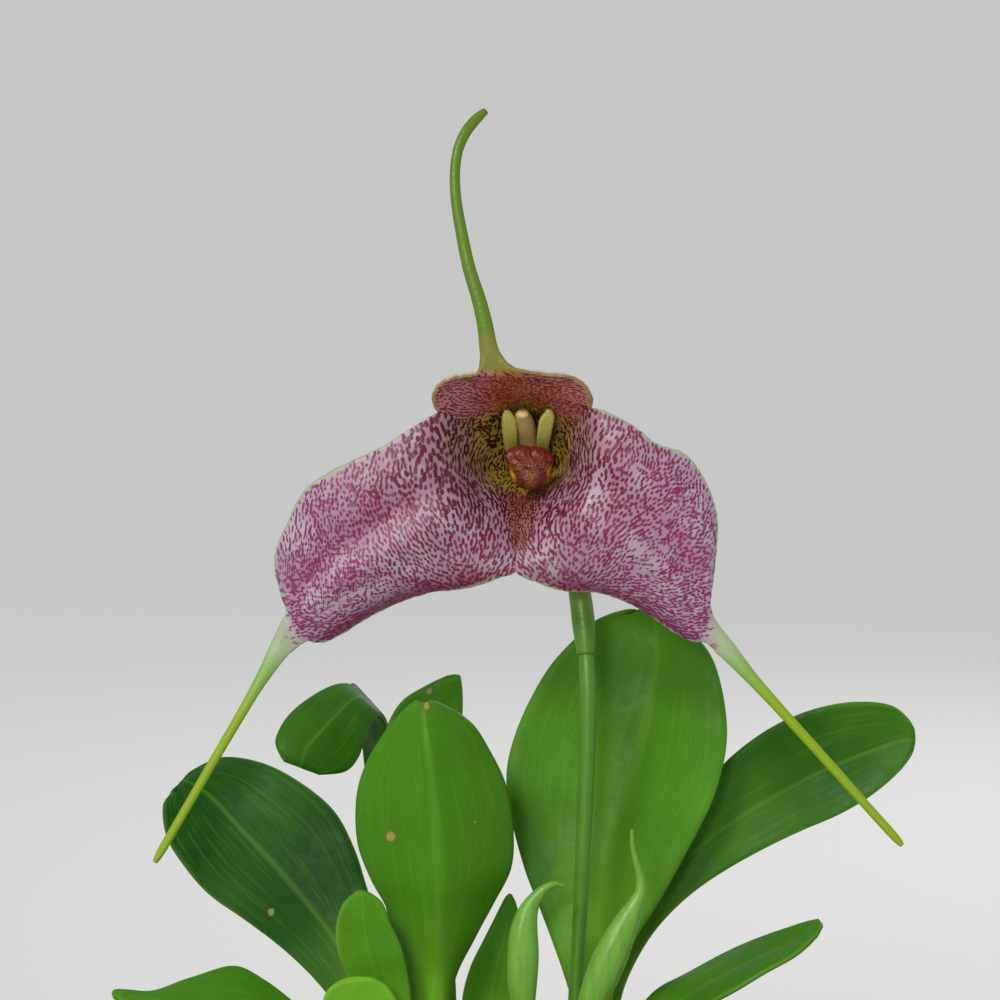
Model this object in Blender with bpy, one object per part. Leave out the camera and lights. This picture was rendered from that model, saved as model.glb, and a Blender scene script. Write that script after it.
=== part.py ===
# A small potted masdevallia orchid, in metres, +Z up, the flower facing -Y.
# The tables below are in millimetres, measured from the centre of the pot's base.
import math

import bmesh
import bpy
from mathutils import Vector, noise

MM = 0.001

# Clay pot
POT_BASE_RADIUS = 20.5
POT_NECK_RADIUS = 26.8
POT_RIM_RADIUS = 30.0
POT_HEIGHT = 50.0
POT_RIM_HEIGHT = 14.0
POT_FLOOR = 3.2
POT_BORE_BOTTOM = 17.5
POT_BORE_TOP = 27.0
DRAIN_HOLES = 3
DRAIN_RADIUS = 2.5
DRAIN_RING = 11.0
POT_SEGMENTS = 48

# Growing mix
MIX_TOP = 45.0
MIX_CLEARANCE = 0.3
MIX_RELIEF = 0.7
ROOT_HOLE_RADIUS = 1.15

# Rhizome, stubs and roots
RHIZOME_HEIGHT = 47.7
RHIZOME_RADIUS = 1.35
STUB_RADIUS = 0.95
STUB_GAP = 0.4
ROOT_RADIUS = 0.75
ROOT_DEPTH = 36.0
ROOTS = [(-9.5, -0.6), (-3.0, 3.1), (3.6, 2.6), (10.6, 3.2)]
RHIZOME_PATH = [(-11.6, -2.6), (-9.0, 0.2), (-5.0, 2.8), (0.0, 2.6), (5.0, 1.6), (9.0, 2.4), (12.0, 3.8)]

# Sheet thicknesses
SEPAL_THICKNESS = 0.66
LEAF_EDGE = 0.66
LEAF_MIDDLE = 1.15
PETAL_THICKNESS = 0.6
LIP_THICKNESS = 0.9
SHARED_STATIONS = 4
SEPAL_COLUMNS = 10
LEAF_COLUMNS = 6

# Three points across each station: one edge, the middle and the other edge.
# A calyx station also has the height of its lengthwise ridge and the backward roll of its edge.
CALYX = {
    "left": [
        ((1.26, 2, 111.08), (0.68, 2, 109.33), (2.52, 2, 107.77), 0, 0),
        ((-0.29, 0.2, 112.45), (-1.06, 0, 109.27), (2.32, -0.2, 106.66), 0, 0),
        ((-2.21, -2.8, 113.87), (-2.59, -3.4, 108.81), (2.02, -2.6, 105.29), 0.05, 0),
        ((-4.1, -5.4, 114.97), (-3.91, -6.2, 108.23), (1.73, -4.2, 103.01), 0.3, 0),
        ((-5.8, -7.1, 115.73), (-5.42, -7.4, 107.46), (1.48, -5, 100.57), 0.5, 0),
        ((-8.26, -7.7, 114.43), (-7.04, -7.7, 106.43), (-0.29, -5.4, 99.74), 0.6, 0.5),
        ((-10.92, -7.8, 112.72), (-9.13, -7.8, 105.1), (-3.54, -5.6, 98.8), 0.65, 1.0),
        ((-13.68, -7.7, 111.38), (-11.32, -7.8, 103.67), (-6.79, -5.6, 98.42), 0.65, 1.2),
        ((-16.36, -7.4, 110.03), (-13.61, -7.6, 102.23), (-9.95, -5.5, 97.4), 0.6, 1.2),
        ((-18.66, -6.9, 108.28), (-15.62, -7.2, 100.85), (-12.92, -5.3, 95.89), 0.5, 1.1),
        ((-20.32, -6.2, 105.08), (-17.55, -6.7, 99.09), (-15.23, -5.1, 94.43), 0.4, 0.8),
        ((-21.51, -5.6, 101.87), (-18.82, -6.1, 97.41), (-17.06, -5, 93.65), 0.25, 0.4),
        ((-20.96, -5.3, 98.77), (-19.42, -5.6, 96.21), (-18.3, -5, 93.74), 0.12, 0.2),
        ((-20.39, -5.2, 96.94), (-19.68, -5.3, 95.12), (-18.97, -5.1, 93.47), 0, 0),
        ((-21.1, -5.3, 95.31), (-20.49, -5.3, 94.11), (-19.83, -5.3, 92.81), 0, 0),
        ((-22.17, -5.5, 93.13), (-21.35, -5.5, 92.64), (-20.53, -5.5, 92.15), 0, 0),
        ((-22.92, -5.8, 91.41), (-22.3, -5.8, 91.04), (-21.68, -5.8, 90.67), 0, 0),
        ((-23.91, -6.1, 89.43), (-23.44, -6.1, 89.15), (-22.97, -6.1, 88.87), 0, 0),
        ((-25.28, -6.4, 86.92), (-24.87, -6.4, 86.68), (-24.46, -6.4, 86.44), 0, 0),
        ((-27.17, -6.6, 83.66), (-26.78, -6.6, 83.43), (-26.4, -6.6, 83.21), 0, 0),
        ((-29.26, -6.8, 80.02), (-28.89, -6.8, 79.8), (-28.52, -6.8, 79.58), 0, 0),
        ((-31.36, -7, 76.38), (-31, -7, 76.16), (-30.64, -7, 75.95), 0, 0),
        ((-32.78, -7.1, 73.92), (-32.44, -7.1, 73.72), (-32.1, -7.1, 73.52), 0, 0),
        ((-33.22, -7.1, 72.83), (-33.02, -7.1, 72.71), (-32.81, -7.1, 72.59), 0, 0),
    ],
    "right": [
        ((4.17, 2, 111.08), (4.66, 2, 109.33), (2.52, 2, 107.77), 0, 0),
        ((5.61, 0.4, 112.44), (5.9, 0.2, 109.25), (2.32, -0.2, 106.66), 0, 0),
        ((6.63, -2.2, 113.74), (6.63, -3, 108.79), (2.02, -2.6, 105.29), 0.05, 0),
        ((7.64, -5, 115.05), (7.35, -5.8, 108.21), (1.73, -4.2, 103.01), 0.3, 0),
        ((8.61, -7, 116.1), (8.28, -7.2, 107.54), (1.48, -5, 100.57), 0.5, 0),
        ((10.07, -7.5, 115.94), (9.41, -7.6, 106.9), (3.22, -5.2, 99.53), 0.6, 0.5),
        ((12.44, -7.6, 114.71), (11.03, -7.7, 106.05), (5.93, -5.4, 98.62), 0.65, 1.0),
        ((14.82, -7.6, 112.9), (12.74, -7.7, 105.1), (8.8, -5.5, 98.46), 0.65, 1.2),
        ((17.49, -7.4, 111.89), (14.46, -7.6, 103.85), (11.67, -5.5, 97.73), 0.6, 1.2),
        ((19.32, -7, 109.72), (16.09, -7.3, 102.2), (14.26, -5.4, 96.28), 0.5, 1.1),
        ((20.5, -6.5, 106.73), (17.54, -6.9, 100.35), (16.57, -5.3, 94.74), 0.4, 0.8),
        ((20.68, -6, 103.82), (18.62, -6.4, 98.58), (18.2, -5.2, 93.81), 0.25, 0.4),
        ((20.32, -5.6, 100.43), (19.41, -5.9, 97), (19.26, -5.1, 93.66), 0.12, 0.2),
        ((20.03, -5.4, 97.82), (19.91, -5.5, 95.72), (20.02, -5.2, 93.48), 0, 0),
        ((20.68, -5.4, 95.76), (20.68, -5.4, 94.27), (20.73, -5.4, 92.63), 0, 0),
        ((22.42, -5.5, 93.53), (21.73, -5.5, 92.93), (21.05, -5.5, 92.33), 0, 0),
        ((23.61, -5.7, 91.89), (23.07, -5.7, 91.41), (22.53, -5.7, 90.93), 0, 0),
        ((25.02, -5.9, 90.09), (24.6, -5.9, 89.7), (24.17, -5.9, 89.31), 0, 0),
        ((26.97, -6.1, 87.85), (26.6, -6.1, 87.51), (26.23, -6.1, 87.17), 0, 0),
        ((29.53, -6.3, 84.96), (29.19, -6.3, 84.65), (28.84, -6.3, 84.33), 0, 0),
        ((32.2, -6.5, 81.99), (31.87, -6.5, 81.69), (31.53, -6.5, 81.38), 0, 0),
        ((34.87, -6.6, 78.95), (34.55, -6.6, 78.66), (34.24, -6.6, 78.37), 0, 0),
        ((37.93, -6.7, 75.53), (37.63, -6.7, 75.25), (37.33, -6.7, 74.98), 0, 0),
        ((38.67, -6.7, 74.45), (38.5, -6.7, 74.29), (38.32, -6.7, 74.13), 0, 0),
    ],
    "dorsal": [
        ((1.26, 2, 111.08), (2.72, 2, 112.44), (4.17, 2, 111.08), 0, 0),
        ((-0.29, 0.2, 112.45), (2.61, 0.6, 114.56), (5.61, 0.4, 112.44), 0, 0),
        ((-2.21, -2.8, 113.87), (2.11, -2.4, 116.26), (6.63, -2.2, 113.74), 0, 0),
        ((-4.1, -5.4, 114.97), (1.34, -4.8, 117.33), (7.64, -5, 115.05), 0, 0),
        ((-5.8, -7.1, 115.73), (0.76, -6, 117.91), (8.61, -7, 116.1), 0, 0),
        ((-6.45, -8.2, 117.02), (0.38, -6.7, 118.37), (8.77, -8, 117.2), 0, 0),
        ((-6.06, -8.8, 118.28), (0, -7.2, 118.78), (8.15, -8.6, 118.41), 0, 0),
        ((-4.83, -9, 119.19), (-0.28, -7.7, 119.08), (6.72, -8.9, 119.33), 0, 0),
        ((-3.22, -8.9, 119.45), (-0.47, -8, 119.38), (4.26, -8.8, 119.61), 0, 0),
        ((-2.18, -8.6, 119.74), (-0.57, -8.2, 119.77), (1.42, -8.6, 120.12), 0, 0),
        ((-1.89, -8.4, 121.01), (-0.81, -8.3, 121.1), (0.19, -8.4, 121.29), 0, 0),
        ((-1.98, -8.3, 122.11), (-1.14, -8.3, 122.24), (-0.29, -8.3, 122.36), 0, 0),
        ((-2.16, -8.3, 123.98), (-1.42, -8.3, 124.13), (-0.68, -8.3, 124.28), 0, 0),
        ((-2.65, -8.2, 126.31), (-1.99, -8.2, 126.5), (-1.33, -8.2, 126.68), 0, 0),
        ((-3.53, -8, 129.36), (-2.93, -8, 129.52), (-2.34, -8, 129.67), 0, 0),
        ((-4.16, -7.6, 132.53), (-3.6, -7.6, 132.63), (-3.04, -7.6, 132.74), 0, 0),
        ((-4.64, -7, 135.59), (-4.12, -7, 135.65), (-3.61, -7, 135.72), 0, 0),
        ((-4.78, -6.2, 138.31), (-4.29, -6.2, 138.3), (-3.8, -6.2, 138.29), 0, 0),
        ((-4.47, -5.4, 140.8), (-3.99, -5.4, 140.67), (-3.52, -5.4, 140.54), 0, 0),
        ((-3.63, -4.7, 142.75), (-3.19, -4.7, 142.48), (-2.74, -4.7, 142.2), 0, 0),
        ((-2.44, -4, 144.1), (-2.1, -4, 143.76), (-1.76, -4, 143.43), 0, 0),
        ((-1.42, -3.7, 144.7), (-1.24, -3.7, 144.48), (-1.06, -3.7, 144.26), 0, 0),
    ],
}
LEAVES = {
    "leaf_1": [
        ((-8.1, -3.5, 87.9), (-7.5, -4, 87.7), (-6.7, -3.5, 87.9)),
        ((-9.4, -3, 86.7), (-7.3, -3.8, 86.7), (-5.3, -3, 87.3)),
        ((-11.1, -2.4, 84.6), (-7.1, -3.6, 84.5), (-2.7, -2.2, 85.4)),
        ((-13, -2, 81.3), (-6.8, -3.4, 81.9), (-0.9, -1.6, 82.5)),
        ((-13.9, -1.6, 77.9), (-6.5, -3.2, 78.6), (0.6, -1.2, 79.2)),
        ((-13.8, -1.4, 73.6), (-6.1, -3, 75.3), (1.3, -1, 75)),
        ((-12.6, -1.2, 70.2), (-6, -2.6, 71.5), (1.1, -0.8, 71)),
        ((-11.1, -1, 67.4), (-6, -2.2, 67.8), (-0.6, -0.6, 67.5)),
        ((-9.8, -0.8, 64.3), (-6.1, -1.8, 64.3), (-2.5, -0.4, 64.1)),
        ((-9.2, -0.6, 61.2), (-6.1, -1.4, 61.3), (-4.1, -0.2, 61.1)),
        ((-9, -0.4, 58.2), (-6.2, -1, 58.3), (-5.1, 0, 58.1)),
        ((-8.4, -0.2, 55.2), (-6.3, -0.6, 55.3), (-5.3, 0, 55.2)),
        ((-7.7, 0, 52.2), (-6.4, -0.2, 52.2), (-5.4, 0, 52.2)),
        ((-7.5, 0, 50.4), (-6.5, 0, 50.4), (-5.6, 0, 50.4)),
    ],
    "leaf_2": [
        ((13.1, 10, 95.1), (14, 10.4, 95.4), (15, 10, 95.1)),
        ((9.9, 9, 94.6), (15.1, 10.4, 94.1), (18.8, 9.5, 93.2)),
        ((7.1, 8.4, 92.3), (15.4, 10.2, 90.8), (21, 9, 90.7)),
        ((4.4, 8, 89.1), (14.9, 10, 87.4), (22.2, 8.5, 86.5)),
        ((2, 7.6, 84.5), (14.3, 9.6, 84), (22.4, 8, 82.1)),
        ((0.7, 7.2, 79.9), (13.3, 9.2, 80.3), (21.3, 7.5, 77.4)),
        ((1, 6.8, 75.6), (12, 8.6, 76.6), (19.7, 7, 74)),
        ((2.4, 6.2, 70.2), (10.5, 7.8, 72.7), (17.9, 6.5, 70.7)),
        ((3.8, 5.6, 66.6), (9.9, 7, 68.8), (15.6, 5.8, 66.7)),
        ((5.1, 5, 63.2), (9.5, 6.2, 65), (13.6, 5.2, 63.7)),
        ((6.3, 4.6, 59.8), (9.3, 5.4, 61.1), (11.8, 4.8, 60.4)),
        ((7.3, 4.2, 56.4), (9.2, 4.8, 56.8), (10.9, 4.4, 56.8)),
        ((8, 4, 52.9), (9.2, 4.4, 52.9), (10.2, 4.2, 52.9)),
        ((8.2, 4, 50), (9.2, 4.2, 49.9), (10.1, 4, 50)),
    ],
    "leaf_3": [
        ((-31.9, 7, 77.8), (-31.4, 7.5, 78.7), (-30.4, 8, 79.6)),
        ((-33.2, 6.6, 76.4), (-30.1, 7.6, 78.2), (-27.5, 8.2, 80.9)),
        ((-32.9, 6.2, 73.4), (-28.3, 7.6, 76.8), (-23.5, 8.4, 80.3)),
        ((-31.5, 6, 70.9), (-26, 7.4, 74.3), (-19.8, 8.2, 78.4)),
        ((-28.8, 5.8, 67.7), (-23.3, 7, 71.5), (-16.4, 7.8, 75.6)),
        ((-25, 5.6, 65), (-20.4, 6.6, 68.3), (-14.4, 7.2, 72)),
        ((-21.4, 5.2, 62.3), (-17.7, 6, 65), (-13.2, 6.6, 68.4)),
        ((-18.4, 4.8, 59.5), (-15.4, 5.4, 61.6), (-12, 5.8, 64.6)),
        ((-15.7, 4.4, 56.3), (-13.4, 4.8, 58.1), (-10.8, 5, 60.7)),
        ((-13.3, 4, 53.4), (-11.6, 4.2, 54.6), (-9.8, 4.4, 56.3)),
        ((-11.4, 3.8, 51.3), (-10.4, 4, 51.8), (-9.1, 4, 52.6)),
        ((-10.6, 3.8, 49.3), (-9.7, 4, 49.6), (-8.8, 4, 49.9)),
    ],
    "leaf_4": [
        ((41.1, 13, 80.8), (41.5, 13.4, 82), (41.1, 13, 83.5)),
        ((39.8, 12.6, 79), (40, 13.6, 81.9), (39.2, 13.2, 85.4)),
        ((37.1, 12.4, 76.6), (36.8, 13.8, 80.7), (35.4, 13.4, 85.8)),
        ((33.7, 12.2, 74.6), (32.8, 13.6, 79.1), (31.1, 13.4, 85)),
        ((29.9, 12, 73), (28.5, 13.4, 76.9), (26.8, 13.2, 83.1)),
        ((26.1, 11.6, 71.2), (24.4, 12.8, 74.6), (22.7, 13, 80)),
        ((22.1, 11, 69), (20.5, 12, 71.9), (19.2, 12.6, 76)),
        ((18.7, 10.2, 66.7), (17.3, 11.2, 68.7), (16, 11.8, 71.6)),
        ((15.9, 9.4, 64), (14.8, 10.2, 65.6), (13.6, 10.8, 67.5)),
        ((13.7, 8.6, 60.9), (12.8, 9.2, 62), (11.8, 9.8, 63.4)),
        ((12.1, 8, 57.2), (11.4, 8.4, 58.1), (10.6, 8.8, 59.1)),
        ((11.6, 7.6, 53.3), (10.7, 8, 53.7), (9.8, 8.2, 54.2)),
        ((11.5, 7.4, 49.8), (10.6, 7.6, 50), (9.7, 7.8, 50.1)),
    ],
    "leaf_5": [
        ((30.8, -4.5, 65.6), (31.1, -3, 66.1), (30.8, -1.5, 66.3)),
        ((28.5, -6.2, 63.5), (28.5, -2.6, 64.3), (26.9, 2, 64.3)),
        ((24.8, -6.8, 61.4), (24.4, -2.4, 62.3), (22.5, 4, 61.7)),
        ((21.3, -6.4, 59.3), (20.5, -2.2, 60.3), (18.2, 3.4, 59.7)),
        ((18.5, -5, 57.2), (17.5, -1.8, 58.1), (15.2, 2.4, 58.4)),
        ((16.3, -3.4, 55.3), (15.1, -1.4, 56.2), (13.5, 1, 56.8)),
        ((14.8, -2, 53.4), (13.7, -1, 54.1), (12.6, 0.2, 54.5)),
        ((13.9, -1.6, 51.3), (13, -1, 51.6), (12.2, -0.4, 51.9)),
    ],
    "leaf_6": [
        ((-37, -5, 59), (-37.4, -4.8, 59.7), (-36.7, -4.4, 60)),
        ((-34.6, -6.6, 57.5), (-34.2, -4.8, 58.7), (-33.6, -3, 59.4)),
        ((-30.9, -7.4, 56.5), (-30.7, -4.8, 58.2), (-30.1, -0.6, 60.4)),
        ((-26.6, -7.6, 55.6), (-26.5, -4.4, 57.8), (-26, 1, 61.4)),
        ((-22.5, -6.8, 54.7), (-22.6, -4, 56.9), (-22.8, 0.4, 60.1)),
        ((-19, -5.4, 53.4), (-19.3, -3.6, 55.3), (-19.9, -0.6, 57.7)),
        ((-16.2, -4, 52.2), (-16.5, -3.2, 53.6), (-16.9, -1.8, 55)),
        ((-14.3, -3.4, 51.1), (-14.3, -3, 52.1), (-14.5, -2.4, 53.1)),
        ((-13.2, -3.2, 50.2), (-13, -3, 51), (-12.8, -2.6, 51.8)),
    ],
    "leaf_7": [
        ((-21.6, 12, 80.1), (-20, 12.6, 79.3), (-18, 13, 78.5)),
        ((-22.4, 13, 81.8), (-19.5, 13, 81), (-15.5, 14, 78.7)),
        ((-21.4, 15, 84), (-18.2, 14, 82.4), (-14.2, 15, 80)),
        ((-19.3, 17, 85.7), (-16.6, 15.6, 83.9), (-13.5, 16, 81.9)),
        ((-17.2, 19, 86.7), (-15.1, 17.4, 85.2), (-12.9, 17.4, 83.3)),
        ((-15.4, 21, 86.8), (-13.7, 19.4, 85.1), (-12, 19, 83.7)),
        ((-14.7, 23, 85.7), (-12.9, 21.2, 83.7), (-11.3, 20.2, 82)),
        ((-14.3, 24, 82.5), (-12.3, 22, 80.3), (-10.6, 20.6, 78.2)),
        ((-13.8, 23, 77.7), (-11.6, 21.6, 75.7), (-9.7, 20.2, 73.6)),
        ((-12.9, 21.2, 71.6), (-10.8, 20.2, 69.9), (-8.9, 19, 68.3)),
        ((-11.7, 19.2, 65), (-9.9, 18.4, 63.9), (-8.4, 17.4, 62.7)),
        ((-10.2, 17, 58.2), (-9, 16.4, 57.7), (-7.8, 15.8, 57.2)),
        ((-9.1, 14, 52.6), (-8.1, 13.8, 52.4), (-7.1, 13.6, 52.3)),
        ((-8.5, 11.8, 49.2), (-7.6, 11.8, 49.1), (-6.7, 11.8, 49)),
    ],
    "leaf_8": [
        ((-5.3, 9, 88.9), (-4.4, 9, 89), (-3.9, 9, 88.9)),
        ((-7.5, 8.8, 87.8), (-5.5, 9.2, 87.5), (-3.7, 9, 87.3)),
        ((-9.7, 8.6, 86.4), (-6.7, 9.4, 85.4), (-3.7, 9, 85)),
        ((-11.1, 8.6, 84), (-7.5, 9.6, 82.4), (-3.9, 9.2, 82)),
        ((-11.9, 8.8, 80.5), (-7.9, 9.8, 78.9), (-4.1, 9.4, 78.5)),
        ((-11.7, 9, 76), (-8, 9.8, 74.9), (-4.4, 9.4, 74.5)),
        ((-10.7, 8.8, 70.6), (-7.7, 9.6, 70), (-4.8, 9.2, 69.5)),
        ((-9.1, 8.6, 64.6), (-6.9, 9.2, 64), (-4.7, 9, 63.7)),
        ((-7.5, 8.4, 58.6), (-6, 8.8, 58.4), (-4.4, 8.6, 58.2)),
        ((-6.2, 8.2, 53.2), (-5.2, 8.4, 53.1), (-4.2, 8.2, 53.2)),
        ((-5.5, 8, 49.5), (-4.6, 8.2, 49.4), (-3.7, 8, 49.5)),
    ],
    "leaf_9": [
        ((-13.9, -5.4, 69.6), (-13.3, -5.4, 69.7), (-12.6, -5.4, 69.5)),
        ((-15.1, -5.8, 68.4), (-13.3, -5.2, 68.3), (-11.3, -5.4, 68.5)),
        ((-15.7, -6, 66.4), (-13.1, -5, 66), (-10.5, -5.4, 66.4)),
        ((-15.6, -6, 64), (-12.7, -4.8, 63.6), (-9.6, -5.2, 64.4)),
        ((-14.7, -5.8, 61.6), (-12, -4.6, 61.3), (-9, -5, 62.1)),
        ((-13.5, -5.4, 58.8), (-11.1, -4.4, 58.7), (-8.6, -4.8, 59.5)),
        ((-12, -4.8, 56), (-10.1, -4.2, 55.9), (-8.3, -4.6, 56.5)),
        ((-10.6, -4.2, 53.5), (-9.5, -4, 53.6), (-8.2, -4.2, 53.8)),
        ((-10.1, -3.8, 51.4), (-9.2, -3.8, 51.4), (-8.3, -3.8, 51.5)),
    ],
    "leaf_10": [
        ((0.5, 3.4, 67.7), (1, 3.4, 68), (1.3, 3.4, 67.6)),
        ((-0.3, 3.2, 66), (0.8, 3.6, 66.2), (1.8, 3.2, 66)),
        ((-1.6, 3, 63.5), (0.3, 3.6, 63.4), (2.1, 3, 63.5)),
        ((-2.9, 3, 60.8), (-0.4, 3.8, 60.6), (1.9, 3, 60.8)),
        ((-3.7, 3.2, 57.5), (-1, 4, 57.4), (1.4, 3.2, 57.5)),
        ((-3.5, 3.6, 54), (-1.6, 4, 53.9), (0.3, 3.6, 54)),
        ((-3.1, 3.8, 51.5), (-2.1, 4, 51.4), (-0.9, 3.8, 51.5)),
        ((-3, 4, 49.7), (-2.2, 4, 49.7), (-1.3, 4, 49.7)),
    ],
    "leaf_11": [
        ((-14.8, -9.2, 61.8), (-13.6, -9, 62), (-12.2, -9.2, 61.9)),
        ((-16.4, -9.6, 60.8), (-13.6, -8.9, 60.7), (-10.7, -9.4, 61)),
        ((-17, -9.8, 58.9), (-13.4, -8.7, 58.7), (-9.7, -9.4, 59.3)),
        ((-16.6, -9.4, 56.7), (-13, -8.4, 56.5), (-9.4, -9, 57.1)),
        ((-15.3, -8.8, 54.6), (-12.5, -8, 54.4), (-9.5, -8.4, 54.8)),
        ((-13.6, -8, 52.8), (-11.7, -7.6, 52.7), (-9.8, -7.8, 52.9)),
        ((-12.1, -7.2, 51.2), (-11.1, -7.2, 51.3), (-10.2, -7.2, 51.4)),
    ],
}
FLOWER_PARTS = {
    "petal_left": [
        ((0.38, -4.4, 115.78), (0.67, -4.4, 115.88), (0.96, -4.4, 115.68)),
        ((0.19, -4.2, 115.1), (0.72, -4.1, 115.19), (1.24, -4, 115.09)),
        ((0.19, -3.2, 113.89), (0.77, -3.1, 113.89), (1.34, -3, 113.79)),
        ((0.34, -1.9, 112.67), (0.87, -1.8, 112.57), (1.4, -1.7, 112.56)),
        ((0.58, -0.9, 111.74), (1.01, -0.8, 111.64), (1.45, -0.7, 111.63)),
        ((0.87, 0.4, 110.89), (1.16, 0.5, 110.78), (1.45, 0.6, 110.78)),
    ],
    "petal_right": [
        ((4.4, -4.6, 115.89), (4.68, -4.6, 115.98), (4.97, -4.6, 115.79)),
        ((4.11, -4.3, 115.11), (4.69, -4.2, 115.2), (5.22, -4.2, 115.1)),
        ((3.93, -3.2, 113.8), (4.51, -3.1, 113.79), (4.99, -3.1, 113.7)),
        ((3.85, -1.9, 112.57), (4.33, -1.8, 112.57), (4.76, -1.7, 112.56)),
        ((3.91, -0.8, 111.73), (4.29, -0.7, 111.63), (4.63, -0.6, 111.63)),
        ((3.97, 0.4, 110.89), (4.21, 0.5, 110.78), (4.45, 0.6, 110.78)),
    ],
    "lip": [
        ((2.42, 1, 108.81), (2.91, 1, 108.72), (3.39, 1, 108.81)),
        ((1.84, -0.2, 108.7), (2.9, -0.5, 108.52), (3.96, -0.2, 108.7)),
        ((1.25, -1.6, 108.89), (2.89, -2.2, 108.59), (4.53, -1.6, 108.98)),
        ((0.96, -2.4, 109.33), (2.97, -3.3, 109.19), (5.1, -2.4, 109.52)),
        ((0.86, -2.8, 110.12), (2.97, -3.8, 110.09), (5.19, -2.8, 110.31)),
        ((0.77, -2.8, 110.89), (2.78, -3.7, 110.85), (4.61, -2.7, 110.89)),
        ((0.77, -2.4, 111.44), (2.11, -3, 111.48), (3.56, -2.4, 111.35)),
        ((1.15, -1.8, 111.79), (2.02, -2.2, 111.91), (2.98, -1.8, 111.7)),
    ],
}
STALKS = {
    "column": [
        ((2.9, 0.6, 109.81), 0.87),
        ((2.85, 0, 111.59), 0.97),
        ((2.6, -1.2, 113.3), 1.01),
        ((2.35, -2.7, 114.54), 0.96),
        ((2.16, -3.6, 115.26), 0.77),
    ],
    "flower_stem": [
        ((7.22, 0, 50.14), 0.68),
        ((7.26, 0, 53.19), 0.68),
        ((7.31, 0, 58.12), 0.68),
        ((7.59, 0, 63.03), 0.70),
        ((8.07, 0, 72.84), 0.73),
        ((8.44, 0, 81.64), 0.77),
        ((8.54, 0.2, 87.47), 0.82),
        ((8.44, 0.6, 90.55), 0.79),
        ((8.33, 0.9, 92.47), 0.64),
    ],
    "ovary": [
        ((8.27, 1, 93.24), 0.48),
        ((8.06, 1.4, 95.64), 0.50),
        ((7.68, 2, 98.52), 0.54),
        ((7.11, 3.2, 101.34), 0.62),
        ((6.26, 4.8, 103.96), 0.80),
        ((5.09, 6, 106.32), 0.98),
        ((3.92, 5.9, 108.1), 1.12),
        ((3.12, 4.6, 109.16), 1.17),
        ((2.72, 3.1, 109.65), 1.07),
    ],
    "floral_bract": [
        ((8.36, 0.8, 91.9), 1.08),
        ((8.18, 1.2, 94.2), 1.09),
        ((7.92, 1.6, 96.6), 1.11),
        ((7.63, 2.1, 98.7), 1.05),
    ],
    "flower_bud_1": [
        ((2.32, -4, 50.91), 0.67),
        ((2.32, -4, 53.46), 0.72),
        ((2.32, -4, 55.9), 0.86),
        ((2.22, -4, 58.34), 1.15),
        ((2.12, -4, 60.77), 1.44),
        ((2.17, -4, 63.21), 1.51),
        ((2.22, -4, 65.16), 1.39),
        ((2.51, -4, 66.91), 1.10),
        ((3.09, -4, 68.27), 0.77),
        ((3.86, -4, 69.24), 0.58),
        ((4.63, -4, 69.87), 0.48),
        ((5.4, -4, 70.12), 0.42),
        ((6.07, -4, 69.92), 0.29),
    ],
    "flower_bud_2": [
        ((7.35, -4, 50.91), 0.67),
        ((7.49, -4, 52.77), 0.72),
        ((7.83, -4, 54.92), 0.86),
        ((8.5, -4, 57.65), 1.20),
        ((9.46, -4, 60.29), 1.55),
        ((10.52, -4, 62.92), 1.66),
        ((11.48, -4, 65.06), 1.46),
        ((12.34, -4, 66.81), 1.11),
        ((13.02, -4, 68.07), 0.81),
        ((13.54, -4, 69.34), 0.58),
        ((13.49, -4, 70.8), 0.48),
        ((13.1, -4, 72.35), 0.42),
        ((12.76, -4, 73.9), 0.38),
        ((12.71, -4, 75.26), 0.29),
    ],
}

# The bract is a sleeve round the top of the stem and the foot of the ovary's stalk.
BRACT_WALL = 0.3
ANTHER_CENTRE = (2.13, -4.25, 115.42)
ANTHER_RADII = (0.62, 0.42, 0.42)

COLOURS = {
    "terracotta": ((0.52, 0.21, 0.11), 0.85),
    "bark_mix": ((0.11, 0.06, 0.035), 0.9),
    "rhizome": ((0.25, 0.22, 0.09), 0.7),
    "leaf": ((0.07, 0.22, 0.03), 0.4),
    "stem": ((0.1, 0.26, 0.03), 0.45),
    "bract": ((0.33, 0.36, 0.13), 0.6),
    "ovary": ((0.2, 0.3, 0.08), 0.5),
    "sepal": ((0.6, 0.33, 0.42), 0.5),
    "petal": ((0.75, 0.72, 0.42), 0.45),
    "lip": ((0.09, 0.01, 0.015), 0.5),
    "column": ((0.72, 0.62, 0.4), 0.45),
    "bud": ((0.27, 0.53, 0.16), 0.45),
}
materials = {}


def clear_scene():
    for item in list(bpy.data.objects):
        bpy.data.objects.remove(item, do_unlink=True)


def material(name):
    if name not in materials:
        colour, roughness = COLOURS[name]
        made = bpy.data.materials.new(name)
        made.use_nodes = True
        shader = made.node_tree.nodes["Principled BSDF"]
        shader.inputs["Base Color"].default_value = (*colour, 1.0)
        shader.inputs["Roughness"].default_value = roughness
        shader.inputs["Metallic"].default_value = 0.0
        made.diffuse_color = (*colour, 1.0)
        materials[name] = made
    return materials[name]


def collection(name):
    made = bpy.data.collections.new(name)
    bpy.context.scene.collection.children.link(made)
    return made


def new_object(name, verts, faces, slot, where, smooth=True):
    mesh = bpy.data.meshes.new(name)
    mesh.from_pydata([tuple(c * MM for c in v) for v in verts], [], faces)
    mesh.update()
    made = bpy.data.objects.new(name, mesh)
    where.objects.link(made)
    if slot:
        mesh.materials.append(material(slot))
    if smooth:
        mesh.shade_smooth()
    return made


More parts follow.
